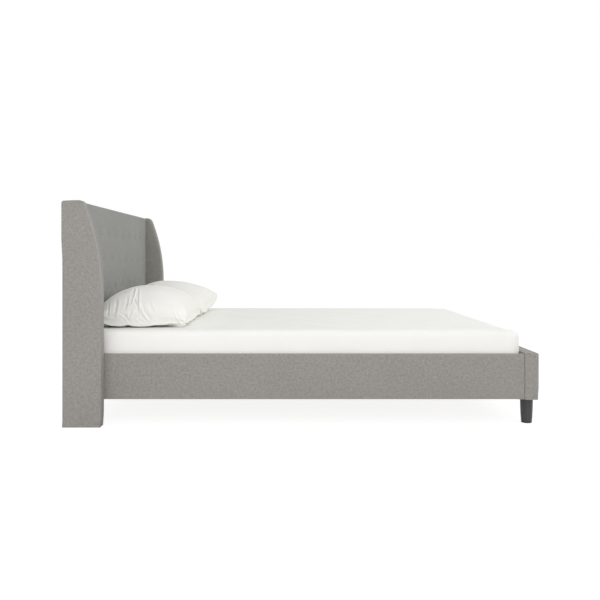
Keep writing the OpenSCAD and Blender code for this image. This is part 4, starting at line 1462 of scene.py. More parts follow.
@dataclass
class SideRail:
    """The linen round one side rail."""

    finishes: Finishes
    side: Side
    start_x: float = -1.048
    end_x: float = 1.017
    inner_y: float = 0.766
    outer_y: float = 0.790
    bottom_z: float = 0.116
    top_z: float = 0.3240
    edge_radius: float = 0.010
    bottom_radius: float = 0.004
    end_swell: float = 0.008
    swell_length: float = 0.050
    slack: float = 0.0005
    crown: float = 0.0008
    cell: float = 0.012
    cells_along: int = 170

    def form(self, points: np.ndarray) -> np.ndarray:
        """Shapes the rail's gridded block.

        Args:
            points: The block's points: along, up and through.

        Returns:
            Their places on the rail.
        """
        half_z, half_y = (self.top_z - self.bottom_z) / 2, (self.outer_y - self.inner_y) / 2
        a, b, c = points[:, 0], points[:, 1], points[:, 2] / half_y
        inside = half_z - np.abs(b)
        sharp = (self.edge_radius - self.bottom_radius) * smooth_step(b, -half_z + 0.03, -half_z)
        half_here = half_y - edge_drop(inside, self.edge_radius - sharp)
        waves = ripples(np.stack([a * 0.5, b], axis=1), 0.14, 61 + self.side.value)
        soft = self.slack * waves * smooth_step(inside, 0.0, 0.03)
        y = c * (half_here + soft + self.crown * smooth_step(inside, 0.0, 0.06))
        half_x = (self.end_x - self.start_x) / 2
        outside = self.side.value * np.clip((1 + self.side.value * c) / 2, 0, 1)
        y = y + self.end_swell * outside * smooth_step(a, half_x - self.swell_length, half_x)
        middle_y, middle_z = (self.inner_y + self.outer_y) / 2, (self.bottom_z + self.top_z) / 2
        return np.stack([
            a + (self.start_x + self.end_x) / 2, self.side.value * middle_y + y, b + middle_z], axis=1)

    def build(self) -> list[bpy.types.Object]:
        """Builds the rail's linen as a sleeve that is open at its ends.

        Returns:
            The sleeve.
        """
        half_x, half_z = (self.end_x - self.start_x) / 2, (self.top_z - self.bottom_z) / 2
        half_y = (self.outer_y - self.inner_y) / 2
        along = [half_x * (2 * i / self.cells_along - 1) for i in range(1, self.cells_along)]
        along += [half_x - 0.007, half_x - 0.003]
        piece = Piece(f"rail_linen_{self.side.word}").block(
            (half_x, half_z, half_y),
            (along, lines_over(half_z, self.cell, self.edge_radius, 6), [-half_y / 2, 0.0, half_y / 2]))
        piece.remove(lambda middle: abs(abs(middle.x) - half_x) < 1e-5)
        made = thicken(piece.shape(self.form).made(self.finishes.linen), 0.0026)
        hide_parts(f"rail_cover_{self.side.word}")
        return [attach(made, "frame")]


@dataclass
class FootRail:
    """The linen round the foot rail, open below between its two boards."""

    finishes: Finishes
    inner_x: float = 1.017
    outer_x: float = 1.0815
    half_width: float = 0.8035
    bottom_z: float = 0.116
    top_z: float = 0.3295
    edge_radius: float = 0.011
    seam_radius: float = 0.0025
    bottom_radius: float = 0.005
    draw_in: float = 0.0045
    lip: float = 0.014
    slack: float = 0.0006
    crown: float = 0.0010
    padding: float = 0.0044
    lip_share: float = 0.38
    cell: float = 0.011
    end_folds: tuple[Fold, ...] = (
        Fold((1.010, 0.336), (1.086, 0.2965), 0.0035, 0.0024),
        Fold((1.030, 0.142), (1.082, 0.118), 0.0035, 0.0020),
        Fold((1.046, 0.146), (1.086, 0.128), 0.0030, 0.0016))

    def halves(self) -> tuple[float, float, float]:
        """Half of the foot rail's size across the bed, up and through."""
        return self.half_width, (self.top_z - self.bottom_z) / 2, (self.outer_x - self.inner_x) / 2

    def form(self, points: np.ndarray) -> np.ndarray:
        """Shapes the foot rail's gridded block.

        Args:
            points: The block's points: across the bed, up and through.

        Returns:
            Their places on the foot rail.
        """
        half_y, half_z, half_x = self.halves()
        a, b, c = points[:, 0], points[:, 1], points[:, 2] / half_x
        rise = smooth_step(b + half_z, 0.0, 0.035)
        radius = self.bottom_radius + (self.edge_radius - self.bottom_radius) * rise
        side, top, bottom = half_y - np.abs(a), half_z - b, half_z + b
        inside = np.minimum(np.minimum(side, top), bottom)
        radius = np.where(c < 0, np.minimum(radius, self.seam_radius), radius)
        half_here = half_x - edge_drop(inside, radius)
        pulled_a, pulled_b = corner_pull(side, top, radius)
        soft = self.slack * ripples(np.stack([a * 0.5, b], axis=1), 0.14, 71) * smooth_step(inside, 0.0, 0.03)
        swell = self.crown * smooth_step(inside, 0.0, 0.06)
        drawn = self.draw_in * smooth_step(bottom, 0.075, 0.0) ** 2 * np.maximum(c, 0)
        x = c * (half_here + soft + swell) - drawn + (self.inner_x + self.outer_x) / 2
        z = b - pulled_b + (self.bottom_z + self.top_z) / 2
        fold = sum(fold.relief(x, z) for fold in self.end_folds) * smooth_step(side, 0.004, 0.0)
        return np.stack([x, np.sign(a) * (np.abs(a) - pulled_a + fold), z], axis=1)

    def build(self) -> list[bpy.types.Object]:
        """Builds the foot rail's linen, which is thinner on its lip below.

        Returns:
            The linen.
        """
        half_y, half_z, half_x = self.halves()
        lip = (half_x - self.lip) / (half_x - self.bottom_radius) * half_x
        through = sorted({-lip, lip, *[half_x * i / 10 for i in range(-9, 10)]})
        up = lines_over(half_z, self.cell, self.edge_radius, 6)
        up += [half_z - millimetres / 1000 for millimetres in range(14, 50, 3)]
        up = spaced(up + [millimetres / 1000 - half_z for millimetres in range(13, 36, 3)])
        piece = Piece("foot_linen").block(
            (half_y, half_z, half_x),
            (lines_over(half_y, self.cell, self.edge_radius, 6), up, through))
        piece.remove(lambda middle: middle.y < -half_z + 1e-5 and abs(middle.z) < lip)
        made = piece.shape(self.form).made(self.finishes.linen)
        padded = made.vertex_groups.new(name="padding")
        bottom = self.bottom_z + 0.0012
        for vertex in made.data.vertices:
            padded.add([vertex.index], 1.0 if vertex.co.z > bottom else 0.0, "REPLACE")
        thicken(made, self.padding)
        made.modifiers["thickness"].vertex_group = "padding"
        made.modifiers["thickness"].thickness_vertex_group = self.lip_share
        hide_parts("foot_cover")
        return [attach(made, "frame")]


# The bedding


@dataclass
class Mattress:
    """The mattress and the fitted sheet stretched over it."""

    finishes: Finishes
    middle_x: float = 0.0025
    half_length: float = 1.0115
    half_width: float = 0.762
    bottom_z: float = 0.2144
    side_z: float = 0.4194
    crown: float = 0.008
    side_lift: float = 0.008
    foot_sag: float = 0.0035
    edge_radius: float = 0.030
    corner_radius: float = 0.052
    sheet_gap: float = 0.0004
    sheet_thickness: float = 0.0007
    sheet_slack: float = 0.0011
    sheet_side: float = 0.200
    hem: float = 0.170

    def form(self, points: np.ndarray, grow: float, slack: float) -> np.ndarray:
        """Shapes a gridded block into the mattress's form.

        Args:
            points: The block's points: along the bed, across it and through.
            grow: How far the form stands off the mattress.
            slack: How deep the sheet's folds are, 0 on the mattress.

        Returns:
            Their places on the form.
        """
        half_a, half_b = self.half_length, self.half_width
        half_c = (self.side_z - self.bottom_z) / 2
        a, b, c = points[:, 0], points[:, 1], points[:, 2] / half_c
        inside = np.minimum(half_a - np.abs(a), half_b - np.abs(b))
        drop = edge_drop(inside, self.edge_radius)
        over = np.stack([np.abs(a) - half_a, np.abs(b) - half_b], axis=1) / self.corner_radius + 1
        over = np.clip(over, 0, None)
        both = (over[:, 0] > 0) & (over[:, 1] > 0)
        round_a = over[:, 0] * np.sqrt(np.maximum(0, 1 - np.minimum(1, over[:, 1]) ** 2 / 2))
        round_b = over[:, 1] * np.sqrt(np.maximum(0, 1 - np.minimum(1, over[:, 0]) ** 2 / 2))
        place_a = np.where(both, np.sign(a) * (half_a + self.corner_radius * (round_a - 1)), a)
        place_b = np.where(both, np.sign(b) * (half_b + self.corner_radius * (round_b - 1)), b)
        crown = self.crown * (1 - (a / half_a) ** 2) * (1 - (b / half_b) ** 2)
        lift = self.side_lift * smooth_step(-b, half_b - 0.145, half_b - 0.05)
        sag = self.foot_sag * smooth_step(a, half_a - 0.15, half_a - 0.02)
        top = self.side_z + crown + lift - sag - drop
        low = self.bottom_z + drop
        z = (top + low) / 2 + c * (top - low) / 2
        rim = inside < ON_RIM
        out_a = np.where(half_a - np.abs(a) < ON_RIM, np.sign(a), 0.0)
        out_b = np.where(half_b - np.abs(b) < ON_RIM, np.sign(b), 0.0)
        bulge = 0.0
        if slack:
            around = np.stack([place_a + place_b * 0.7, z * 0.6], axis=1)
            bulge = slack * (0.5 + 0.5 * ripples(around, 0.16, 81)) * hump(c, 0, 0.7)
            corner = hump(half_a - np.abs(place_a), 0, 0.13) * hump(half_b - np.abs(place_b), 0, 0.13)
            drawn = np.sin((np.abs(place_a) - half_a - np.abs(place_b) + half_b) / 0.0105 + 2.2 * c)
            bulge = np.maximum(bulge + 0.8 * slack * corner * (1 + drawn) * smooth_step(c, 1.0, 0.2), 0)
            across = ripples(points[:, :2] * np.array([0.5, 1.0]), 0.19, 83)
            lain = 0.5 + 0.5 * across + 0.5 * corner * (1 + drawn)
            z = z + np.where(c > 0.99, slack * 0.6 * np.maximum(lain, 0), 0)
        x = self.middle_x + place_a + out_a * (grow + bulge * rim) + np.sign(a) * grow * (~rim)
        y = place_b + out_b * (grow + bulge * rim) + np.sign(b) * grow * (~rim)
        z = z + np.where(c >= 0, 1, -1) * grow * np.minimum(1, np.abs(c))
        return np.stack([x, y, z], axis=1)

    def block(self, name: str, step: float) -> Piece:
        """Starts a piece from a block of the mattress's size.

        Args:
            name: The piece's name.
            step: The size of its cells.

        Returns:
            The piece.
        """
        half_c = (self.side_z - self.bottom_z) / 2
        return Piece(name).block(
            (self.half_length, self.half_width, half_c),
            (lines_over(self.half_length, step, self.edge_radius, 6),
             lines_over(self.half_width, step, self.edge_radius, 6),
             [half_c * (i / 5 - 1) for i in range(1, 10)]))

    def build_mattress(self) -> bpy.types.Object:
        """Builds the mattress.

        Returns:
            The mattress.
        """
        piece = self.block("mattress_ticking", 0.045).shape(lambda points: self.form(points, 0.0, 0.0))
        made = piece.made(self.finishes.ticking)
        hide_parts("mattress")
        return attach(made, "mattress")

    def build_sheet(self) -> bpy.types.Object:
        """Builds the fitted sheet, turned in under the mattress.

        Returns:
            The sheet.
        """
        piece = self.block("fitted_sheet_cotton", 0.017)
        low = -(self.side_z - self.bottom_z) / 2 + 1e-5
        open_x, open_y = self.half_length - self.hem, self.half_width - self.hem
        piece.remove(lambda middle: middle.z < low and abs(middle.x) < open_x and abs(middle.y) < open_y)
        piece.shape(lambda points: self.form(points, self.sheet_gap, self.sheet_slack))
        made = thicken(piece.made(self.finishes.sheet_cotton), self.sheet_thickness, 1.0)
        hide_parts("fitted_sheet")
        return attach(made, "mattress")

    def build(self) -> list[bpy.types.Object]:
        """The mattress and its sheet."""
        return [self.build_mattress(), self.build_sheet()]


CLOTH_SETTINGS = {
    "quality": 5, "mass": 0.3, "tension_stiffness": 15.0, "compression_stiffness": 15.0,
    "shear_stiffness": 5.0, "bending_stiffness": 0.3, "use_pressure": True,
    "uniform_pressure_force": 4.0, "shrink_min": -0.045,
}


@dataclass
class Pillow:
    """A pillow lying against the headboard, wrinkled by cloth simulation and then creased."""

    finishes: Finishes
    side: Side
    start_x: float = -1.0112
    right_lead: float = 0.013
    right_fuller: float = 0.004
    right_crest_back: float = 0.03
    start_y: float = 0.007
    depth: float = 0.454
    width: float = 0.592
    height: float = 0.190
    seam_height: float = 0.018
    seam: float = 0.005
    crest_place: float = 0.54
    draw_in: float = 0.035
    swell_back: tuple[float, float] = (3.1, 0.42)
    swell_front: tuple[float, float] = (1.9, 0.30)
    swell_across: tuple[float, float] = (2.8, 0.42)
    bulge: float = 0.006
    corner_up: float = 0.066
    corner_out: float = 0.030
    back_up: float = 0.022
    spans: tuple[int, int] = (96, 124)
    mattress_middle: float = 0.0025
    mattress_half: tuple[float, float] = (1.0115, 0.762)
    mattress_side_z: float = 0.4194
    mattress_crown: float = 0.008
    rest: float = 0.0020
    most_moved: float = 0.009
    tightened: tuple[float, float, float] = (0.985, 0.985, 0.95)
    frames: int = 20
    seen_from: tuple[float, float, float] = (-0.079, 4.1065, 0.778)
    drawn_y: float = 0.600
    past_start: float = 0.003

    def swell(self, offset: np.ndarray, reach: np.ndarray | float, form: tuple[float, float]) -> np.ndarray:
        """How full the pillow is at an offset from its middle.

        Args:
            offset: The offsets.
            reach: The offset of the seam.
            form: How flat its top and how steep its side is.

        Returns:
            The fullness at each offset, 0 at the seam.
        """
        return np.clip(1 - np.abs(offset / reach) ** form[0], 0, 1) ** form[1]

    def fullness(self, u: np.ndarray, v: np.ndarray) -> np.ndarray:
        """How full the pillow is, 0 at its seam and 1 at its crest.

        Args:
            u: Shares of its depth from the headboard.
            v: Shares of its width from the bed's middle.

        Returns:
            The fullness at each place.
        """
        crest = self.crest_place - (self.right_crest_back if self.side is Side.RIGHT else 0.0)
        back = self.swell(u - crest, crest, self.swell_back)
        front = self.swell(u - crest, 1 - crest, self.swell_front)
        return np.where(u < crest, back, front) * self.swell(v - 0.5, 0.5, self.swell_across)

    def ground(self, x: np.ndarray, y: np.ndarray) -> np.ndarray:
        """How high the sheet lies under the pillow.

        Args:
            x: Places along the bed.
            y: Places across it.

        Returns:
            The heights.
        """
        along, across = (x - self.mattress_middle) / self.mattress_half[0], y / self.mattress_half[1]
        return self.rest + self.mattress_side_z + self.mattress_crown * (1 - along ** 2) * (1 - across ** 2)

    def form(self, u: np.ndarray, v: np.ndarray, share: np.ndarray) -> np.ndarray:
        """Puts the pillow's points on the bed, as if it were on the right half.

        Args:
            u: Shares of its depth from the headboard.
            v: Shares of its width from the bed's middle.
            share: 0 on its lower face and 1 on its upper face.

        Returns:
            Their places.
        """
        full = self.fullness(u, v)
        x = self.start_x + self.depth * (0.5 + (u - 0.5) * (1 - self.draw_in * 4 * v * (1 - v)))
        y = self.start_y + self.width * (0.5 + (v - 0.5) * (1 - self.draw_in * 4 * u * (1 - u)))
        out = self.bulge * share * 4 * full * (1 - full)
        outer_back = smooth_step(u, 0.22, 0.02) * smooth_step(v, 0.6, 1.0)
        raised = self.seam_height + self.back_up * outer_back
        x, y = x + out * smooth_step(u, 0.4, 0.9), y + out * np.tanh(5 * (v - 0.5))
        if self.side is Side.RIGHT:
            corner = smooth_step(u, 0.45, 1.0) * smooth_step(v, 0.45, 1.0)
            x, raised = x + self.right_lead + self.corner_out * corner, raised + self.corner_up * corner
        under = self.ground(x, y) + raised * (1 - full) ** 1.5
        fuller = self.right_fuller if self.side is Side.RIGHT else 0.0
        thick = self.seam + (self.height + fuller - self.seam) * full
        return np.stack([x, y, under + thick * share], axis=1)

    def pressed(self, piece: Piece, places: np.ndarray) -> np.ndarray:
        """Lets the filling press the pillow's cotton out from where it starts.

        Args:
            piece: The pillow's mesh.
            places: Where its points start.

        Returns:
            Where they end.
        """
        piece.move_to(places)
        mesh = bpy.data.meshes.new("cloth")
        piece.bm.to_mesh(mesh)
        cloth = bpy.data.objects.new("cloth", mesh)
        bpy.context.scene.collection.objects.link(cloth)
        modifier = cloth.modifiers.new("cloth", "CLOTH")
        for name, value in CLOTH_SETTINGS.items():
            setattr(modifier.settings, name, value)
        modifier.settings.effector_weights.gravity = 0.0
        modifier.collision_settings.use_collision = False
        modifier.point_cache.frame_start = 1
        modifier.point_cache.frame_end = self.frames
        for step in range(1, self.frames + 1):
            bpy.context.scene.frame_set(step)
        shown = cloth.evaluated_get(bpy.context.evaluated_depsgraph_get())
        grown = shown.to_mesh()
        ended = np.empty(len(grown.vertices) * 3)
        grown.vertices.foreach_get("co", ended)
        shown.to_mesh_clear()
        bpy.context.scene.frame_set(1)
        bpy.data.objects.remove(cloth)
        return ended.reshape(-1, 3)

    def wrinkles(
        self, piece: Piece, places: np.ndarray, u: np.ndarray, v: np.ndarray, share: np.ndarray
    ) -> np.ndarray:
        """How the pillow's cotton wrinkles when the filling presses on it.

        Args:
            piece: The pillow's mesh.
            places: Where its points start.
            u: Shares of its depth from the headboard.
            v: Shares of its width from the bed's middle.
            share: 0 on its lower face and 1 on its upper face.

        Returns:
            How each point moves beside the pillow's broad swelling, no further than most_moved.
        """
        middle = places.mean(axis=0)
        tight = middle + (places - middle) * np.array(self.tightened)
        moved = self.pressed(piece, tight) - tight
        powers = [(i, j) for i in range(7) for j in range(7 - i)]
        broad = np.stack([face * u ** i * v ** j for face in (share, 1 - share) for i, j in powers], axis=1)
        moved -= broad @ np.linalg.lstsq(broad, moved, rcond=None)[0]
        log.info("  wrinkles: %.1f mm usual, %.1f mm most", 1000 * moved.std(), 1000 * np.abs(moved).max())
        far = np.maximum(np.linalg.norm(moved, axis=1, keepdims=True), 1e-9)
        return moved * np.tanh(far / self.most_moved) * self.most_moved / far

    def end_folds(self) -> list[Fold]:
        """The creases in the end towards the bed's side, on the upright plane at drawn_y.

        Returns:
            The creases, as places along the bed and up, and none for the right-hand pillow.
        """
        if self.side is Side.RIGHT:
            return []
        return [
            Fold((-0.803, 0.628), (-0.831, 0.529), 0.0045, 0.0085, 0.004, 0.6),
            Fold((-0.811, 0.573), (-0.780, 0.486), 0.0038, 0.0060, 0.003, 0.7),
            Fold((-0.784, 0.628), (-0.783, 0.471), 0.0040, 0.0065, -0.005, 0.7),
            Fold((-0.716, 0.450), (-0.771, 0.556), 0.0042, 0.0080, 0.012, 0.8),
            Fold((-0.727, 0.437), (-0.787, 0.486), 0.0040, 0.0050, -0.004, 0.6),
            Fold((-0.760, 0.435), (-0.804, 0.481), 0.0040, 0.0030, -0.003, 0.6),
            Fold((-0.818, 0.437), (-0.876, 0.500), 0.0045, 0.0045, -0.004, 0.6),
            Fold((-0.838, 0.582), (-0.857, 0.500), 0.0055, 0.0042, 0.005, 0.5),
            Fold((-0.821, 0.515), (-0.838, 0.452), 0.0045, 0.0030, 0.004, 0.5),
            Fold((-0.891, 0.573), (-0.910, 0.471), 0.0070, 0.0034, 0.006, 0.5),
            Fold((-0.929, 0.558), (-0.937, 0.461), 0.0045, 0.0034, 0.002, 0.5),
            Fold((-0.735, 0.558), (-0.700, 0.490), 0.0060, 0.0026, -0.006, 0.5),
            Fold((-0.744, 0.517), (-0.724, 0.461), 0.0040, 0.0030, -0.004, 0.5),
            Fold((-0.557, 0.432), (-0.613, 0.512), 0.0042, 0.0065, 0.005, 0.7),
            Fold((-0.561, 0.432), (-0.640, 0.486), 0.0045, 0.0050, 0.006, 0.6),
            Fold((-0.572, 0.430), (-0.671, 0.457), 0.0040, 0.0032, 0.003, 0.6),
        ]

    def crease(self, piece: Piece) -> np.ndarray:
        """Presses the creases into the end of the pillow, along lines from the point seen_from.

        Args:
            piece: The pillow's mesh.

        Returns:
            Where its points end.
        """
        bmesh.ops.recalc_face_normals(piece.bm, faces=piece.bm.faces[:])
        piece.bm.normal_update()
        places = piece.points()
        outward = np.array([vertex.normal for vertex in piece.bm.verts])
        eye = np.array(self.seen_from)
        towards = eye - places
        facing = (outward * towards).sum(axis=1) / np.linalg.norm(towards, axis=1)
        scale = (eye[1] - self.drawn_y) / (eye[1] - places[:, 1])
        a, b = (eye[axis] + (places[:, axis] - eye[axis]) * scale for axis in (0, 2))
        rise = sum((fold.relief(a, b) for fold in self.end_folds()), np.zeros(len(places)))
        seen = smooth_step(facing, 0.0, 0.25) * smooth_step(outward[:, 2], -0.5, -0.1)
        return places + outward * (rise * seen)[:, None]

    def build(self) -> list[bpy.types.Object]:
        """Builds the pillow.

        Returns:
            The pillow.
        """
        piece = Piece(f"pillow_cotton_{self.side.word}")
        bmesh.ops.create_grid(piece.bm, x_segments=self.spans[0], y_segments=self.spans[1], size=1.0)
        bmesh.ops.solidify(piece.bm, geom=piece.bm.faces[:], thickness=0.1)
        flat = piece.in_order().points()
        u, v = ((1 - np.cos(math.pi * (flat[:, axis] + 1) / 2)) / 2 for axis in (0, 1))
        share = (flat[:, 2] > flat[:, 2].mean()).astype(float)
        places = self.form(u, v, share)
        places = places + self.wrinkles(piece, places, u, v, share)
        places = self.crease(piece.move_to(places).finer())
        places[:, 0] = np.maximum(places[:, 0], self.start_x)
        places[:, 1] = np.maximum(places[:, 1], self.start_y - self.past_start)
        places[:, 2] = np.maximum(places[:, 2], self.ground(places[:, 0], places[:, 1]))
        places[:, 1] *= self.side.value
        made = piece.move_to(places).made(self.finishes.cotton)
        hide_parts(f"pillow_{self.side.word}")
        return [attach(made, f"pillow_{self.side.word}")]


# The legs and the slatted base


@dataclass
class LegGlides:
    """The glides under the two legs, nearly as wide as the legs' feet."""

    finishes: Finishes
    middle_x: float = 1.044
    middle_y: float = 0.7385
    radius: float = 0.0238
    thickness: float = 0.005
    edge: float = 0.0012

    def build(self) -> list[bpy.types.Object]:
        """Builds the glides.

        Returns:
            Both glides as one piece.
        """
        piece = Piece("leg_glide_pads")
        for side in Side:
            place = Matrix.Translation((self.middle_x, side.value * self.middle_y, self.thickness / 2))
            bmesh.ops.create_cone(
                piece.bm, cap_ends=True, segments=48, radius1=self.radius, radius2=self.radius,
                depth=self.thickness, matrix=place)
        rims = [edge for edge in piece.bm.edges if edge.calc_face_angle(0.0) > 1.0]
        bmesh.ops.bevel(
            piece.bm, geom=rims, offset=self.edge, segments=3, profile=0.5, affect="EDGES", material=-1)
        made = piece.made(self.finishes.nylon, weave=False)
        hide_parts("leg_glides")
        return [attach(made, "frame")]


@dataclass
class SlatStraps:
    """The two straps of webbing that keep the slats apart."""

    finishes: Finishes
    offset_y: float = 0.400
    width: float = 0.030
    thickness: float = 0.0011
    gap: float = 0.0001
    most_sag: float = 0.0022
    spare_length: float = 0.010

    def form(self, points: np.ndarray, side: Side) -> np.ndarray:
        """Lays a strap under the slats, sagging a little between them.

        Args:
            points: The strap's points, along it and across.
            side: The side of the bed that it lies on.

        Returns:
            Their places on the bed.
        """
        low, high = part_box("slat_straps")
        slats = [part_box(f"slat_{number:02d}") for number in range(1, 13)]
        x = points[:, 0] + low.x + (high.x - low.x) / 2
        sag = np.zeros(len(points))
        for (_, before), (after, _) in zip(slats, slats[1:]):
            share = np.clip((x - before.x) / (after.x - before.x), 0, 1)
            sag = np.maximum(sag, self.most_sag * np.sin(np.pi * share) ** 2)
        return np.stack([x, side.value * self.offset_y + points[:, 1], high.z - self.gap - sag], axis=1)

    def build_strap(self, side: Side) -> bpy.types.Object:
        """Builds one strap.

        Args:
            side: The side of the bed that it lies on.

        Returns:
            The strap.
        """
        low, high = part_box("slat_straps")
        half = (high.x - low.x) / 2
        piece = Piece(f"slat_webbing_{side.word}")
        bmesh.ops.create_grid(
            piece.bm, x_segments=360, y_segments=4, size=1.0,
            matrix=Matrix.Diagonal((half, self.width / 2, 1.0, 1.0)))
        piece.shape(lambda points: self.form(points, side))
        made = thicken(piece.made(self.finishes.webbing), self.thickness, -1.0)
        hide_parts("slat_straps")
        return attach(made, "frame")

    def build(self) -> list[bpy.types.Object]:
        """The two straps."""
        return [self.build_strap(side) for side in Side]


@dataclass
class FrameFinishes:
    """The finishes of the frame's rigid parts, which keep their own shapes."""

    finishes: Finishes

    def table(self) -> dict[str, bpy.types.Material]:
        """The finish of each rigid node.

        Returns:
            The materials by the nodes' names.
        """
        boards = [f"{name}_{side.word}" for name in ("rail_board", "slat_ledge") for side in Side]
        slats = [f"slat_{number:02d}" for number in range(1, 13)]
        rows = [
            (self.finishes.pine[Axis.X], [*boards, "centre_beam"]),
            (self.finishes.pine[Axis.Y], ["head_top_rail", "head_mid_rail", "head_bottom_rail"]),
            (self.finishes.pine[Axis.Y], ["foot_front_board", "foot_back_board", *slats]),
            (self.finishes.pine[Axis.Z], ["head_post_left", "head_post_right", "foot_blocks"]),
            (self.finishes.plywood, ["head_face_board", "wing_core_left", "wing_core_right"]),
            (self.finishes.leg_wood, ["leg_left", "leg_right"]),
            (self.finishes.black_steel, ["head_brackets", "foot_brackets", "beam_hangers"]),
            (self.finishes.black_steel, ["centre_leg_1", "centre_leg_2", "centre_leg_3"]),
            (self.finishes.zinc, ["wing_bolts", "bracket_bolts", "leg_studs"]),
            (self.finishes.nylon, ["wing_glides", "leveller_1", "leveller_2", "leveller_3"]),
        ]
        return {name: material for material, names in rows for name in names}

    def build(self) -> list[bpy.types.Object]:
        """Gives each rigid node its finish.

        Returns:
            The nodes.
        """
        dressed = []
        for name, material in self.table().items():
            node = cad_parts[name]
            node.data.materials.clear()
            node.data.materials.append(material)
            dressed.append(node)
        return dressed


# The studio


class StudioShading(Shading):
    """The emptied node tree of the world or of the floor."""

    def __init__(self, tree: bpy.types.NodeTree) -> None:
        """Empties the tree.

        Args:
            tree: The node tree of the world or of the floor's material.
        """
        super().__init__(tree)
        tree.nodes.clear()

    def joined(self, kind: str, *inputs: bpy.types.NodeSocket) -> bpy.types.NodeSocket:
        """Adds or mixes shaders.

        Args:
            kind: AddShader, or MixShader with the second shader's share first.
            *inputs: The sockets to join.

        Returns:
            The joined shader's socket.
        """
        made = self.node(kind)
        for socket, value in zip(made.inputs, inputs):
            self.feed(socket, value)
        return made.outputs[0]

    def seen_directly(self) -> bpy.types.NodeSocket:
        """Says whether a ray comes straight from the camera, or by a reflection or through glass.

        Returns:
            A socket that is 1 if it does.
        """
        path = self.node("LightPath").outputs
        straight = self.sum("MAXIMUM", path["Is Camera Ray"], path["Is Glossy Ray"])
        return self.sum("MAXIMUM", straight, path["Is Transmission Ray"])

    def show(self, kind: str, surface: bpy.types.NodeSocket) -> None:
        """Ends the tree.

        Args:
            kind: OutputWorld or OutputMaterial.
            surface: The shader's socket.
        """
        self.feed(self.node(kind).inputs["Surface"], surface)


@dataclass(frozen=True)
class SoftBox:
    """A rectangular lamp, with its place, the point that it faces, its size, tint and power in watts."""

    name: str
    place: tuple[float, float, float]
    aim: tuple[float, float, float]
    size: tuple[float, float]
    tint: tuple[float, float, float]
    power: float

    def build(self) -> None:
        """Hangs the lamp."""
        data = bpy.data.lights.new(self.name, "AREA")
        data.shape = "RECTANGLE"
        data.size, data.size_y = self.size
        data.energy = self.power
        data.color = self.tint
        light = bpy.data.objects.new(self.name, data)
        light.location = self.place
        light.rotation_mode = "QUATERNION"
        light.rotation_quaternion = (Vector(self.aim) - Vector(self.place)).to_track_quat("-Z", "Y")
        bpy.context.scene.collection.objects.link(light)


PLAIN = (1.0, 1.0, 1.0)
ROSY = (1.0, 0.955, 0.99)
SOFT_BOXES = (
    SoftBox("near_box", (-1.1, -3.9, 1.5), (-0.9, -0.8, 0.5), (3.4, 2.2), ROSY, 30.4),
    SoftBox("right_box", (2.1, -3.9, 1.8), (0.9, -0.8, 0.4), (3.0, 2.2), ROSY, 19.7),
    SoftBox("foot_box", (3.6, 0.5, 2.3), (-0.7, 0.0, 0.5), (3.0, 2.0), PLAIN, 26.9),
    SoftBox("back_box", (-4.4, 2.6, 1.9), (-1.0, 0.2, 0.5), (3.0, 2.0), PLAIN, 21.0),
)


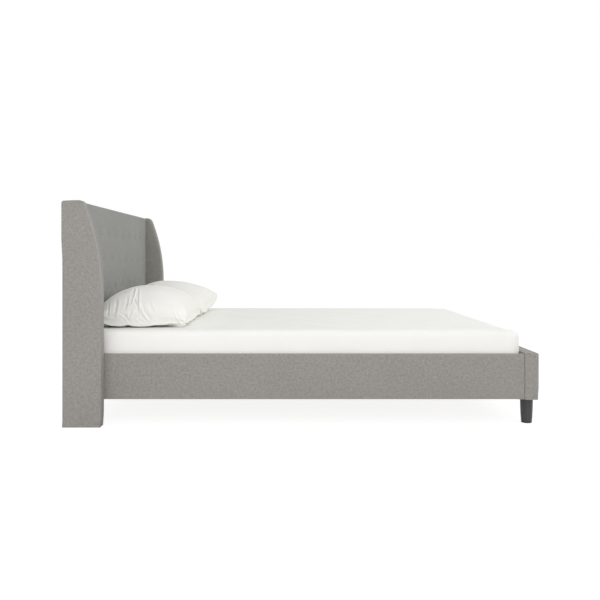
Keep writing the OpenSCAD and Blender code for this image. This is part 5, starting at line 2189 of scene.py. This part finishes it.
@dataclass
class Studio:
    """The floor, the lights and the camera."""

    camera_place: tuple[float, float, float] = (-0.079, -4.1065, 0.778)
    lens: float = 43.53
    shift: tuple[float, float] = (0.0258, -0.0758)
    ambient: float = 0.733
    ambient_tint: tuple[float, float, float, float] = (1.0, 0.995, 0.985, 1.0)
    white: tuple[float, float, float, float] = (1.0, 1.0, 1.0, 1.0)
    floor_bounce: tuple[float, float, float, float] = (0.8, 0.8, 0.8, 1.0)
    floor_seen: tuple[float, float, float, float] = (0.25, 0.25, 0.25, 1.0)
    floor_glow: float = 0.88
    floor_half: float = 30.0

    def clear(self) -> None:
        """Removes what Blender starts with."""
        for name in ("Cube", "Light", "Camera"):
            if name in bpy.data.objects:
                bpy.data.objects.remove(bpy.data.objects[name])

    def build_camera(self) -> None:
        """Sets the camera up square to the bed's side, with its view shifted as the photograph's is."""
        data = bpy.data.cameras.new("camera")
        data.lens, data.sensor_width = self.lens, 36.0
        data.shift_x, data.shift_y = self.shift
        data.clip_start, data.clip_end = 0.05, 200.0
        camera = bpy.data.objects.new("camera", data)
        camera.location = self.camera_place
        camera.rotation_euler = (math.pi / 2, 0.0, 0.0)
        bpy.context.scene.collection.objects.link(camera)
        bpy.context.scene.camera = camera

    def build_world(self) -> None:
        """Makes an even studio light that is plain white where it is seen."""
        world = bpy.data.worlds.new("studio")
        world.use_nodes = True
        tree = StudioShading(world.node_tree)
        light = tree.fed("Background", Color=self.ambient_tint, Strength=self.ambient)
        seen = tree.fed("Background", Color=self.white, Strength=1.0)
        tree.show("OutputWorld", tree.joined("MixShader", tree.seen_directly(), light, seen))
        bpy.context.scene.world = world

    def build_floor(self) -> None:
        """Lays a pale floor that shows the bed's shadow and is clear from below."""
        bm = bmesh.new()
        bmesh.ops.create_grid(bm, x_segments=1, y_segments=1, size=self.floor_half)
        mesh = bpy.data.meshes.new("studio_floor")
        bm.to_mesh(mesh)
        bm.free()
        floor = bpy.data.objects.new("studio_floor", mesh)
        bpy.context.scene.collection.objects.link(floor)
        material = bpy.data.materials.new("studio_floor")
        material.use_nodes = True
        tree = StudioShading(material.node_tree)
        bounce = tree.fed("BsdfDiffuse", Color=self.floor_bounce)
        shaded = tree.fed("BsdfDiffuse", Color=self.floor_seen)
        seen = tree.joined("AddShader", shaded, tree.fed("Emission", Strength=self.floor_glow))
        above = tree.joined("MixShader", tree.seen_directly(), bounce, seen)
        below = tree.node("NewGeometry").outputs["Backfacing"]
        tree.show("OutputMaterial", tree.joined("MixShader", below, above, tree.fed("BsdfTransparent")))
        mesh.materials.append(material)

    def build(self) -> None:
        """Sets the whole studio up."""
        self.build_camera()
        self.build_world()
        self.build_floor()
        for box in SOFT_BOXES:
            box.build()
        bpy.context.scene.view_settings.view_transform = "Standard"


def main() -> None:
    """Builds the studio and every sub-assembly of the bed in order."""
    logging.basicConfig(level=logging.INFO, format="%(message)s")
    studio = Studio()
    studio.clear()
    studio.build()
    finishes = Finishes()
    assemblies = [
        FrameFinishes(finishes),
        Headboard(finishes),
        *[Wing(finishes, side) for side in Side],
        *[SideRail(finishes, side) for side in Side],
        FootRail(finishes),
        LegGlides(finishes),
        SlatStraps(finishes),
        Mattress(finishes),
        *[Pillow(finishes, side) for side in Side],
    ]
    for assembly in assemblies:
        for piece in assembly.build():
            log.info("%s: %s with %d faces", type(assembly).__name__, piece.name, len(piece.data.polygons))


if __name__ == "__main__":
    main()
